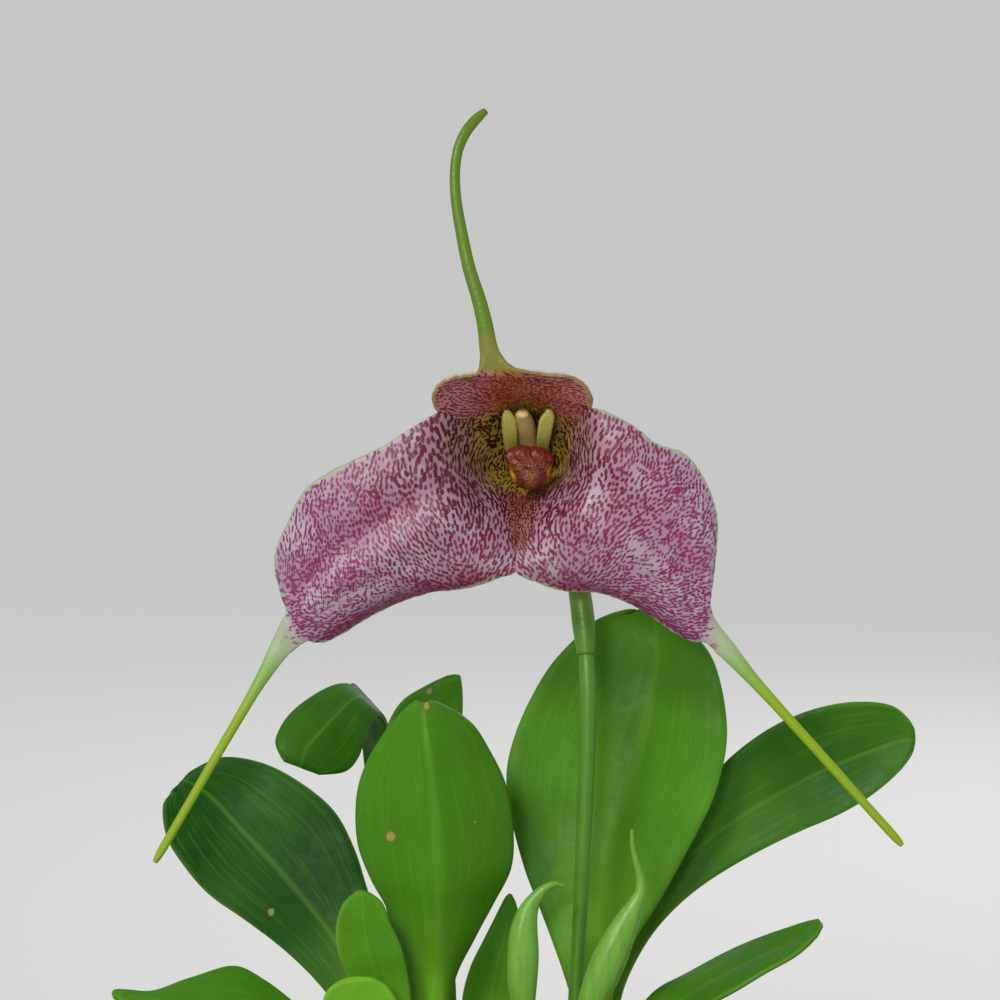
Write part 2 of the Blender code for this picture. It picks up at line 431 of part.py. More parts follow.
def blend(values, s):
    """Smooth curve through a list of tuples, at station s."""
    last = len(values) - 1
    i = min(int(s), last - 1)
    u = s - i
    a, b = values[max(i - 1, 0)], values[i]
    c, d = values[i + 1], values[min(i + 2, last)]
    out = []
    for p, q, r, t in zip(a, b, c, d):
        out.append(0.5 * (2 * q + (r - p) * u + (2 * p - 5 * q + 4 * r - t) * u * u
                          + (3 * q - p - 3 * r + t) * u ** 3))
    return out


def across(first, middle, last, t):
    """Point on the arc through three points across a blade."""
    a, b, c = (1 - t) * (1 - 2 * t), 4 * t * (1 - t), t * (2 * t - 1)
    return [a * p + b * q + c * r for p, q, r in zip(first, middle, last)]


def flat_station(row):
    return [c for point in row[:3] for c in point] + list(row[3:])


def calyx_point(table, s, t):
    row = blend(table, s)
    x, y, z = across(row[0:3], row[3:6], row[6:9], t)
    ridge, roll = max(row[9], 0.0), max(row[10], 0.0)
    groove = math.exp(-((t - 0.40) / 0.11) ** 2) - 0.9 * math.exp(-((t - 0.60) / 0.10) ** 2)
    y += ridge * groove
    y += roll * max(0.0, (t - 0.76) / 0.24) ** 2
    y += 0.3 * roll * max(0.0, (0.15 - t) / 0.15) ** 2
    return (x, y, z)


def leaf_point(table, s, t):
    row = blend(table, s)
    return tuple(across(row[0:3], row[3:6], row[6:9], t))


def thicken(points, quads, half):
    """Closed sheet round a middle surface, split alike on both faces."""
    normals = [Vector() for _ in points]
    triangles = []
    for a, b, c, *rest in quads:
        triangles.append((a, b, c))
        if rest:
            triangles.append((a, c, rest[0]))
    for a, b, c in triangles:
        pa, pb, pc = (Vector(points[i]) for i in (a, b, c))
        n = (pb - pa).cross(pc - pa)
        for i in (a, b, c):
            normals[i] += n
    count = len(points)
    front, back = [], []
    for i, p in enumerate(points):
        n = normals[i].normalized() * half[i]
        front.append(tuple(Vector(p) + n))
        back.append(tuple(Vector(p) - n))
    faces = [tri for tri in triangles]
    faces += [(count + c, count + b, count + a) for a, b, c in triangles]
    edges = {}
    for a, b, c in triangles:
        for e in ((a, b), (b, c), (c, a)):
            edges[e] = True
    for a, b in edges:
        if (b, a) not in edges:
            faces.append((b, a, count + a))
            faces.append((b, count + a, count + b))
    return front + back, faces


def calyx(where):
    tables = {name: [flat_station(r) for r in rows] for name, rows in CALYX.items()}
    points, quads, half = [], [], []
    shared = 2 * SHARED_STATIONS
    grids = {}
    for name, table in tables.items():
        blade = 14 if name != "dorsal" else 10
        stations = [0.5 * i for i in range(2 * blade + 1)]
        stations += [float(i) for i in range(blade + 1, len(table))]
        grid = []
        for k, s in enumerate(stations):
            line = []
            for j in range(SEPAL_COLUMNS + 1):
                reuse = None
                if k <= shared:
                    if name == "right" and j == SEPAL_COLUMNS:
                        reuse = grids["left"][k][j]
                    if name == "dorsal" and j == 0:
                        reuse = grids["left"][k][0]
                    if name == "dorsal" and j == SEPAL_COLUMNS:
                        reuse = grids["right"][k][0]
                if reuse is None:
                    reuse = len(points)
                    points.append(calyx_point(table, s, j / SEPAL_COLUMNS))
                    half.append(SEPAL_THICKNESS / 2)
                line.append(reuse)
            grid.append(line)
        grids[name] = grid
        for k in range(len(grid) - 1):
            for j in range(SEPAL_COLUMNS):
                quad = (grid[k][j], grid[k + 1][j], grid[k + 1][j + 1], grid[k][j + 1])
                quads.append(quad if name == "left" else quad[::-1])
    ring = grids["left"][0] + grids["right"][0][-2::-1] + grids["dorsal"][0][-2:0:-1]
    centre = len(points)
    points.append(tuple(sum(points[i][c] for i in ring) / len(ring) for c in range(3)))
    half.append(SEPAL_THICKNESS / 2)
    for i, a in enumerate(ring):
        quads.append((centre, a, ring[(i + 1) % len(ring)]))
    verts, faces = thicken(points, quads, half)
    return new_object("sepals", verts, faces, "sepal", where)


def blade(name, rows, columns, slot, where, edge, middle, stalk=0.0):
    """Sheet with one row of points for each station, thicker along its middle."""
    table = [flat_station(r) for r in rows]
    points, quads, half = [], [], []
    last = len(table) - 1
    for k in range(len(table)):
        foot = max(0.0, (k / last - 0.7) / 0.3) * stalk
        for j in range(columns + 1):
            t = j / columns
            points.append(leaf_point(table, float(k), t))
            half.append(0.5 * (edge + (middle - edge + foot) * (1 - (2 * t - 1) ** 2)))
    step = columns + 1
    for k in range(last):
        for j in range(columns):
            a = k * step + j
            quads.append((a, a + step, a + step + 1, a + 1))
    verts, faces = thicken(points, quads, half)
    return new_object(name, verts, faces, slot, where)


def tube(name, path, sides, slot, where, squash=1.0, bore=0.0):
    """Round stalk along a path of (point, radius); with a bore it is an open sleeve."""
    centres = [Vector(p) for p, _ in path]
    count = len(centres)
    side = Vector((1.0, 0.0, 0.0))
    rings = []
    for k, centre in enumerate(centres):
        along = (centres[min(k + 1, count - 1)] - centres[max(k - 1, 0)]).normalized()
        side = (side - along * side.dot(along)).normalized()
        other = along.cross(side)
        rings.append((centre, side.copy(), other, path[k][1]))
    verts, faces = [], []

    def ring_of(k, radius):
        centre, u, v, _ = rings[k]
        start = len(verts)
        for i in range(sides):
            a = 2 * math.pi * i / sides
            verts.append(tuple(centre + u * (radius * math.cos(a)) + v * (radius * squash * math.sin(a))))
        return start

    def bridge(a, b):
        for i in range(sides):
            j = (i + 1) % sides
            faces.append((a + i, a + j, b + j))
            faces.append((a + i, b + j, b + i))

    outer = [ring_of(k, rings[k][3]) for k in range(count)]
    for a, b in zip(outer, outer[1:]):
        bridge(a, b)
    if bore:
        inner = [ring_of(k, rings[k][3] - bore) for k in range(count)]
        for a, b in zip(inner, inner[1:]):
            bridge(b, a)
        bridge(outer[-1], inner[-1])
        bridge(inner[0], outer[0])
    else:
        for start, flip in ((outer[0], True), (outer[-1], False)):
            k = 0 if flip else count - 1
            hub = len(verts)
            verts.append(tuple(rings[k][0]))
            for i in range(sides):
                j = (i + 1) % sides
                faces.append((hub, start + j, start + i) if flip else (hub, start + i, start + j))
    return new_object(name, verts, faces, slot, where)


def ellipsoid(name, centre, radii, slot, where):
    mesh = bpy.data.meshes.new(name)
    ball = bmesh.new()
    bmesh.ops.create_icosphere(ball, subdivisions=2, radius=1.0)
    for v in ball.verts:
        v.co = Vector((c + r * x for c, r, x in zip(centre, radii, v.co))) * MM
    ball.to_mesh(mesh)
    ball.free()
    made = bpy.data.objects.new(name, mesh)
    where.objects.link(made)
    mesh.materials.append(material(slot))
    mesh.shade_smooth()
    return made


def revolve(name, profile, segments, slot, where):
    """Closed body of revolution; the profile runs from the axis, round the outside, back to it."""
    verts, faces = [], []
    starts = []
    for r, z in profile:
        starts.append(len(verts))
        if r == 0.0:
            verts.append((0.0, 0.0, z))
        else:
            for i in range(segments):
                a = 2 * math.pi * i / segments
                verts.append((r * math.cos(a), r * math.sin(a), z))
    for k in range(len(profile) - 1):
        a, b = starts[k], starts[k + 1]
        for i in range(segments):
            j = (i + 1) % segments
            if profile[k][0] == 0.0:
                faces.append((a, b + j, b + i))
            elif profile[k + 1][0] == 0.0:
                faces.append((a + i, a + j, b))
            else:
                faces.append((a + i, a + j, b + j, b + i))
    return new_object(name, verts, faces, slot, where, smooth=False)


def apply_boolean(target, cutter, operation, solver="EXACT"):
    mod = target.modifiers.new("shape", "BOOLEAN")
    mod.operation = operation
    mod.solver = solver
    if isinstance(cutter, bpy.types.Collection):
        mod.operand_type = "COLLECTION"
        mod.collection = cutter
    else:
        mod.object = cutter
    bpy.context.view_layer.update()
    graph = bpy.context.evaluated_depsgraph_get()
    mesh = bpy.data.meshes.new_from_object(target.evaluated_get(graph))
    target.modifiers.clear()
    old = target.data
    target.data = mesh
    mesh.name = target.name
    bpy.data.meshes.remove(old)


def pot(where, cutters):
    rim_foot = POT_HEIGHT - POT_RIM_HEIGHT
    profile = [
        (0.0, 0.0), (POT_BASE_RADIUS - 1.0, 0.0), (POT_BASE_RADIUS, 1.0),
        (POT_NECK_RADIUS, rim_foot - 0.4), (POT_RIM_RADIUS - 0.7, rim_foot),
        (POT_RIM_RADIUS, rim_foot + 0.9), (POT_RIM_RADIUS, POT_HEIGHT - 1.0),
        (POT_RIM_RADIUS - 1.0, POT_HEIGHT), (POT_BORE_TOP + 0.9, POT_HEIGHT),
        (POT_BORE_TOP, POT_HEIGHT - 1.0), (POT_BORE_BOTTOM, POT_FLOOR), (0.0, POT_FLOOR),
    ]
    body = revolve("pot", profile, POT_SEGMENTS, "terracotta", where)
    for i in range(DRAIN_HOLES):
        a = 2 * math.pi * (i + 0.25) / DRAIN_HOLES
        spot = (DRAIN_RING * math.cos(a), DRAIN_RING * math.sin(a))
        hole = tube("drain_hole_%d" % (i + 1), [((*spot, -2.0), DRAIN_RADIUS),
                                                ((*spot, POT_FLOOR + 2.0), DRAIN_RADIUS)], 16, None, cutters)
        apply_boolean(body, hole, "DIFFERENCE")
    return body


def mix_height(x, y):
    edge = max(0.0, 1.0 - (math.hypot(x, y) / 25.4) ** 8)
    bumps = 0.5 * noise.noise(Vector((x * 0.3, y * 0.3, 4.0))) + 0.5 * noise.noise(Vector((x, y, 9.0)) * 0.62)
    return MIX_TOP + MIX_RELIEF * edge * bumps


def growing_mix(where, cutters):
    segments, rings = 36, 11

    def bore(z):
        part = (z - POT_FLOOR) / (POT_HEIGHT - 1.0 - POT_FLOOR)
        return POT_BORE_BOTTOM + (POT_BORE_TOP - POT_BORE_BOTTOM) * part - MIX_CLEARANCE

    low = POT_FLOOR + MIX_CLEARANCE
    verts = [(0.0, 0.0, low)]
    for i in range(segments):
        a = 2 * math.pi * i / segments
        verts.append((bore(low) * math.cos(a), bore(low) * math.sin(a), low))
    faces = []
    for i in range(segments):
        faces.append((0, 1 + (i + 1) % segments, 1 + i))
    previous = 1
    for k in range(rings):
        radius = bore(MIX_TOP) * (1 - k / rings)
        start = len(verts)
        for i in range(segments):
            a = 2 * math.pi * i / segments
            x, y = radius * math.cos(a), radius * math.sin(a)
            verts.append((x, y, mix_height(x, y)))
        for i in range(segments):
            j = (i + 1) % segments
            faces.append((previous + i, previous + j, start + j))
            faces.append((previous + i, start + j, start + i))
        previous = start
    hub = len(verts)
    verts.append((0.0, 0.0, mix_height(0.0, 0.0)))
    for i in range(segments):
        faces.append((hub, previous + i, previous + (i + 1) % segments))
    body = new_object("growing_mix", verts, faces, "bark_mix", where, smooth=False)
    for i, (x, y) in enumerate(ROOTS):
        hole = tube("root_hole_%d" % (i + 1), [((x, y, ROOT_DEPTH - 0.4), ROOT_HOLE_RADIUS),
                                               ((x, y, MIX_TOP + 3.0), ROOT_HOLE_RADIUS)], 10, None, cutters)
        apply_boolean(body, hole, "DIFFERENCE")
    return body


def nearest_on_rhizome(x, y):
    best = None
    for k in range(60):
        p = blend(RHIZOME_PATH, k / 59 * (len(RHIZOME_PATH) - 1.0001))
        gap = math.hypot(p[0] - x, p[1] - y)
        if best is None or gap < best[0]:
            best = (gap, p)
    return best[1]


def rhizome(feet, where, cutters):
    """Creeping stem with a stub under every leaf and stalk, and its anchoring roots."""
    path = []
    steps = 12
    for k in range(steps + 1):
        x, y = blend(RHIZOME_PATH, k / steps * (len(RHIZOME_PATH) - 1.0001))
        ends = 0.75 if k in (0, steps) else 1.0
        path.append(((x, y, RHIZOME_HEIGHT), RHIZOME_RADIUS * ends))
    body = tube("rhizome", path, 12, "rhizome", where)
    for i, (foot, along) in enumerate(feet):
        x, y = nearest_on_rhizome(foot[0], foot[1])
        start = Vector((x, y, RHIZOME_HEIGHT))
        top = foot - along * STUB_GAP
        knee = top - along * (0.45 * (top - start).length)
        path = []
        for k in range(5):
            u = k / 4
            point = start * (1 - u) ** 2 + knee * (2 * u * (1 - u)) + top * u * u
            path.append((point, STUB_RADIUS * (1.05 if k else 0.8)))
        stub = tube("stub_%d" % (i + 1), path, 9, None, cutters)
        apply_boolean(body, stub, "UNION")
    for i, (x, y) in enumerate(ROOTS):
        root = tube("root_%d" % (i + 1), [((x, y, RHIZOME_HEIGHT), ROOT_RADIUS * 1.1),
                                          ((x, y, ROOT_DEPTH + 4.0), ROOT_RADIUS),
                                          ((x, y, ROOT_DEPTH), ROOT_RADIUS * 0.5)], 8, None, cutters)
        apply_boolean(body, root, "UNION")
    return body


def main():
    clear_scene()
    plant = collection("masdevallia_orchid")
    cutters = collection("cutters")
    pot(plant, cutters)
    growing_mix(plant, cutters)
    feet = []
    for name, rows in LEAVES.items():
        blade(name, rows, LEAF_COLUMNS, "leaf", plant, LEAF_EDGE, LEAF_MIDDLE, stalk=0.5)
        foot, above = Vector(rows[-1][1]), Vector(rows[-2][1])
        feet.append((foot, (above - foot).normalized()))
    for name, path in STALKS.items():
        slot = {"flower_stem": "stem", "ovary": "ovary", "column": "column",
                "floral_bract": "bract"}.get(name, "bud")
        if name == "floral_bract":
            tube(name, path, 14, slot, plant, bore=BRACT_WALL)
        else:
            tube(name, path, 12, slot, plant, squash=0.9 if name == "column" else 1.0)
        if name.startswith("flower_"):
            foot, above = Vector(path[0][0]), Vector(path[1][0])
            feet.append((foot, (above - foot).normalized()))
    rhizome(feet, plant, cutters)
    calyx(plant)
    for side in ("petal_left", "petal_right"):
        blade(side, FLOWER_PARTS[side], 4, "petal", plant, PETAL_THICKNESS * 0.8, PETAL_THICKNESS)
    blade("lip", FLOWER_PARTS["lip"], 8, "lip", plant, LIP_THICKNESS * 0.7, LIP_THICKNESS)
    ellipsoid("anther_cap", ANTHER_CENTRE, ANTHER_RADII, "column", plant)
    for item in cutters.objects:
        item.hide_render = True
        item.display_type = "WIRE"


main()
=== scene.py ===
# Potted masdevallia orchid: looks, floor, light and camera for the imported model
import math
import random

import bmesh
import bpy
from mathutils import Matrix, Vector, noise
from mathutils.kdtree import KDTree


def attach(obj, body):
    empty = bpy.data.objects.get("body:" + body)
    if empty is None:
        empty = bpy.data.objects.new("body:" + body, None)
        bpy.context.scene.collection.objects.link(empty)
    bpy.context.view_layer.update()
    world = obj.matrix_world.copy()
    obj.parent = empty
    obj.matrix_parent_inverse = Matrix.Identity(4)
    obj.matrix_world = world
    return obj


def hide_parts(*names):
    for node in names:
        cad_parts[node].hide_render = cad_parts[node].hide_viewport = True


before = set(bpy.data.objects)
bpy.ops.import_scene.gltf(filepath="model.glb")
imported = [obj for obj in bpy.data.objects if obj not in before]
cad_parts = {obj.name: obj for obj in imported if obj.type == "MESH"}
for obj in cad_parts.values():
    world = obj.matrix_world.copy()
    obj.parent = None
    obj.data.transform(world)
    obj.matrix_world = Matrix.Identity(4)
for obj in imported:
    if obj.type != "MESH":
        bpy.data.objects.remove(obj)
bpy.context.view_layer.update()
mm = 0.001  # a millimetre in Blender's metres
fullTurn = 6.283  # radians


# Rows of three points in millimetres: one edge, the middle, the other edge
# A calyx row ends with the height of its ridge and the backward roll of its edge
calyxRows = {
    "left": [
        ((1.26, 2, 111.08), (0.68, 2, 109.33), (2.52, 2, 107.77), 0, 0),
        ((-0.29, 0.2, 112.45), (-1.06, 0, 109.27), (2.32, -0.2, 106.66), 0, 0),
        ((-2.21, -2.8, 113.87), (-2.59, -3.4, 108.81), (2.02, -2.6, 105.29), 0.05, 0),
        ((-4.1, -5.4, 114.97), (-3.91, -6.2, 108.23), (1.73, -4.2, 103.01), 0.3, 0),
        ((-5.8, -7.1, 115.73), (-5.42, -7.4, 107.46), (1.48, -5, 100.57), 0.5, 0),
        ((-8.26, -7.7, 114.43), (-7.04, -7.7, 106.43), (-0.29, -5.4, 99.74), 0.6, 0.5),
        ((-10.92, -7.8, 112.72), (-9.13, -7.8, 105.1), (-3.54, -5.6, 98.8), 0.65, 1.0),
        ((-13.68, -7.7, 111.38), (-11.32, -7.8, 103.67), (-6.79, -5.6, 98.42), 0.65, 1.2),
        ((-16.36, -7.4, 110.03), (-13.61, -7.6, 102.23), (-9.95, -5.5, 97.4), 0.6, 1.2),
        ((-18.66, -6.9, 108.28), (-15.62, -7.2, 100.85), (-12.92, -5.3, 95.89), 0.5, 1.1),
        ((-20.32, -6.2, 105.08), (-17.55, -6.7, 99.09), (-15.23, -5.1, 94.43), 0.4, 0.8),
        ((-21.51, -5.6, 101.87), (-18.82, -6.1, 97.41), (-17.06, -5, 93.65), 0.25, 0.4),
        ((-20.96, -5.3, 98.77), (-19.42, -5.6, 96.21), (-18.3, -5, 93.74), 0.12, 0.2),
        ((-20.39, -5.2, 96.94), (-19.68, -5.3, 95.12), (-18.97, -5.1, 93.47), 0, 0),
        ((-21.1, -5.3, 95.31), (-20.49, -5.3, 94.11), (-19.83, -5.3, 92.81), 0, 0),
        ((-22.17, -5.5, 93.13), (-21.35, -5.5, 92.64), (-20.53, -5.5, 92.15), 0, 0),
        ((-22.92, -5.8, 91.41), (-22.3, -5.8, 91.04), (-21.68, -5.8, 90.67), 0, 0),
        ((-23.91, -6.1, 89.43), (-23.44, -6.1, 89.15), (-22.97, -6.1, 88.87), 0, 0),
        ((-25.28, -6.4, 86.92), (-24.87, -6.4, 86.68), (-24.46, -6.4, 86.44), 0, 0),
        ((-27.17, -6.6, 83.66), (-26.78, -6.6, 83.43), (-26.4, -6.6, 83.21), 0, 0),
        ((-29.26, -6.8, 80.02), (-28.89, -6.8, 79.8), (-28.52, -6.8, 79.58), 0, 0),
        ((-31.36, -7, 76.38), (-31, -7, 76.16), (-30.64, -7, 75.95), 0, 0),
        ((-32.78, -7.1, 73.92), (-32.44, -7.1, 73.72), (-32.1, -7.1, 73.52), 0, 0),
        ((-33.22, -7.1, 72.83), (-33.02, -7.1, 72.71), (-32.81, -7.1, 72.59), 0, 0),
    ],
    "right": [
        ((4.17, 2, 111.08), (4.66, 2, 109.33), (2.52, 2, 107.77), 0, 0),
        ((5.61, 0.4, 112.44), (5.9, 0.2, 109.25), (2.32, -0.2, 106.66), 0, 0),
        ((6.63, -2.2, 113.74), (6.63, -3, 108.79), (2.02, -2.6, 105.29), 0.05, 0),
        ((7.64, -5, 115.05), (7.35, -5.8, 108.21), (1.73, -4.2, 103.01), 0.3, 0),
        ((8.61, -7, 116.1), (8.28, -7.2, 107.54), (1.48, -5, 100.57), 0.5, 0),
        ((10.07, -7.5, 115.94), (9.41, -7.6, 106.9), (3.22, -5.2, 99.53), 0.6, 0.5),
        ((12.44, -7.6, 114.71), (11.03, -7.7, 106.05), (5.93, -5.4, 98.62), 0.65, 1.0),
        ((14.82, -7.6, 112.9), (12.74, -7.7, 105.1), (8.8, -5.5, 98.46), 0.65, 1.2),
        ((17.49, -7.4, 111.89), (14.46, -7.6, 103.85), (11.67, -5.5, 97.73), 0.6, 1.2),
        ((19.32, -7, 109.72), (16.09, -7.3, 102.2), (14.26, -5.4, 96.28), 0.5, 1.1),
        ((20.5, -6.5, 106.73), (17.54, -6.9, 100.35), (16.57, -5.3, 94.74), 0.4, 0.8),
        ((20.68, -6, 103.82), (18.62, -6.4, 98.58), (18.2, -5.2, 93.81), 0.25, 0.4),
        ((20.32, -5.6, 100.43), (19.41, -5.9, 97), (19.26, -5.1, 93.66), 0.12, 0.2),
        ((20.03, -5.4, 97.82), (19.91, -5.5, 95.72), (20.02, -5.2, 93.48), 0, 0),
        ((20.68, -5.4, 95.76), (20.68, -5.4, 94.27), (20.73, -5.4, 92.63), 0, 0),
        ((22.42, -5.5, 93.53), (21.73, -5.5, 92.93), (21.05, -5.5, 92.33), 0, 0),
        ((23.61, -5.7, 91.89), (23.07, -5.7, 91.41), (22.53, -5.7, 90.93), 0, 0),
        ((25.02, -5.9, 90.09), (24.6, -5.9, 89.7), (24.17, -5.9, 89.31), 0, 0),
        ((26.97, -6.1, 87.85), (26.6, -6.1, 87.51), (26.23, -6.1, 87.17), 0, 0),
        ((29.53, -6.3, 84.96), (29.19, -6.3, 84.65), (28.84, -6.3, 84.33), 0, 0),
        ((32.2, -6.5, 81.99), (31.87, -6.5, 81.69), (31.53, -6.5, 81.38), 0, 0),
        ((34.87, -6.6, 78.95), (34.55, -6.6, 78.66), (34.24, -6.6, 78.37), 0, 0),
        ((37.93, -6.7, 75.53), (37.63, -6.7, 75.25), (37.33, -6.7, 74.98), 0, 0),
        ((38.67, -6.7, 74.45), (38.5, -6.7, 74.29), (38.32, -6.7, 74.13), 0, 0),
    ],
    "dorsal": [
        ((1.26, 2, 111.08), (2.72, 2, 112.44), (4.17, 2, 111.08), 0, 0),
        ((-0.29, 0.2, 112.45), (2.61, 0.6, 114.56), (5.61, 0.4, 112.44), 0, 0),
        ((-2.21, -2.8, 113.87), (2.11, -2.4, 116.26), (6.63, -2.2, 113.74), 0, 0),
        ((-4.1, -5.4, 114.97), (1.34, -4.8, 117.33), (7.64, -5, 115.05), 0, 0),
        ((-5.8, -7.1, 115.73), (0.76, -6, 117.91), (8.61, -7, 116.1), 0, 0),
        ((-6.45, -8.2, 117.02), (0.38, -6.7, 118.37), (8.77, -8, 117.2), 0, 0),
        ((-6.06, -8.8, 118.28), (0, -7.2, 118.78), (8.15, -8.6, 118.41), 0, 0),
        ((-4.83, -9, 119.19), (-0.28, -7.7, 119.08), (6.72, -8.9, 119.33), 0, 0),
        ((-3.22, -8.9, 119.45), (-0.47, -8, 119.38), (4.26, -8.8, 119.61), 0, 0),
        ((-2.18, -8.6, 119.74), (-0.57, -8.2, 119.77), (1.42, -8.6, 120.12), 0, 0),
        ((-1.89, -8.4, 121.01), (-0.81, -8.3, 121.1), (0.19, -8.4, 121.29), 0, 0),
        ((-1.98, -8.3, 122.11), (-1.14, -8.3, 122.24), (-0.29, -8.3, 122.36), 0, 0),
        ((-2.16, -8.3, 123.98), (-1.42, -8.3, 124.13), (-0.68, -8.3, 124.28), 0, 0),
        ((-2.65, -8.2, 126.31), (-1.99, -8.2, 126.5), (-1.33, -8.2, 126.68), 0, 0),
        ((-3.53, -8, 129.36), (-2.93, -8, 129.52), (-2.34, -8, 129.67), 0, 0),
        ((-4.16, -7.6, 132.53), (-3.6, -7.6, 132.63), (-3.04, -7.6, 132.74), 0, 0),
        ((-4.64, -7, 135.59), (-4.12, -7, 135.65), (-3.61, -7, 135.72), 0, 0),
        ((-4.78, -6.2, 138.31), (-4.29, -6.2, 138.3), (-3.8, -6.2, 138.29), 0, 0),
        ((-4.47, -5.4, 140.8), (-3.99, -5.4, 140.67), (-3.52, -5.4, 140.54), 0, 0),
        ((-3.63, -4.7, 142.75), (-3.19, -4.7, 142.48), (-2.74, -4.7, 142.2), 0, 0),
        ((-2.44, -4, 144.1), (-2.1, -4, 143.76), (-1.76, -4, 143.43), 0, 0),
        ((-1.42, -3.7, 144.7), (-1.24, -3.7, 144.48), (-1.06, -3.7, 144.26), 0, 0),
    ],
}
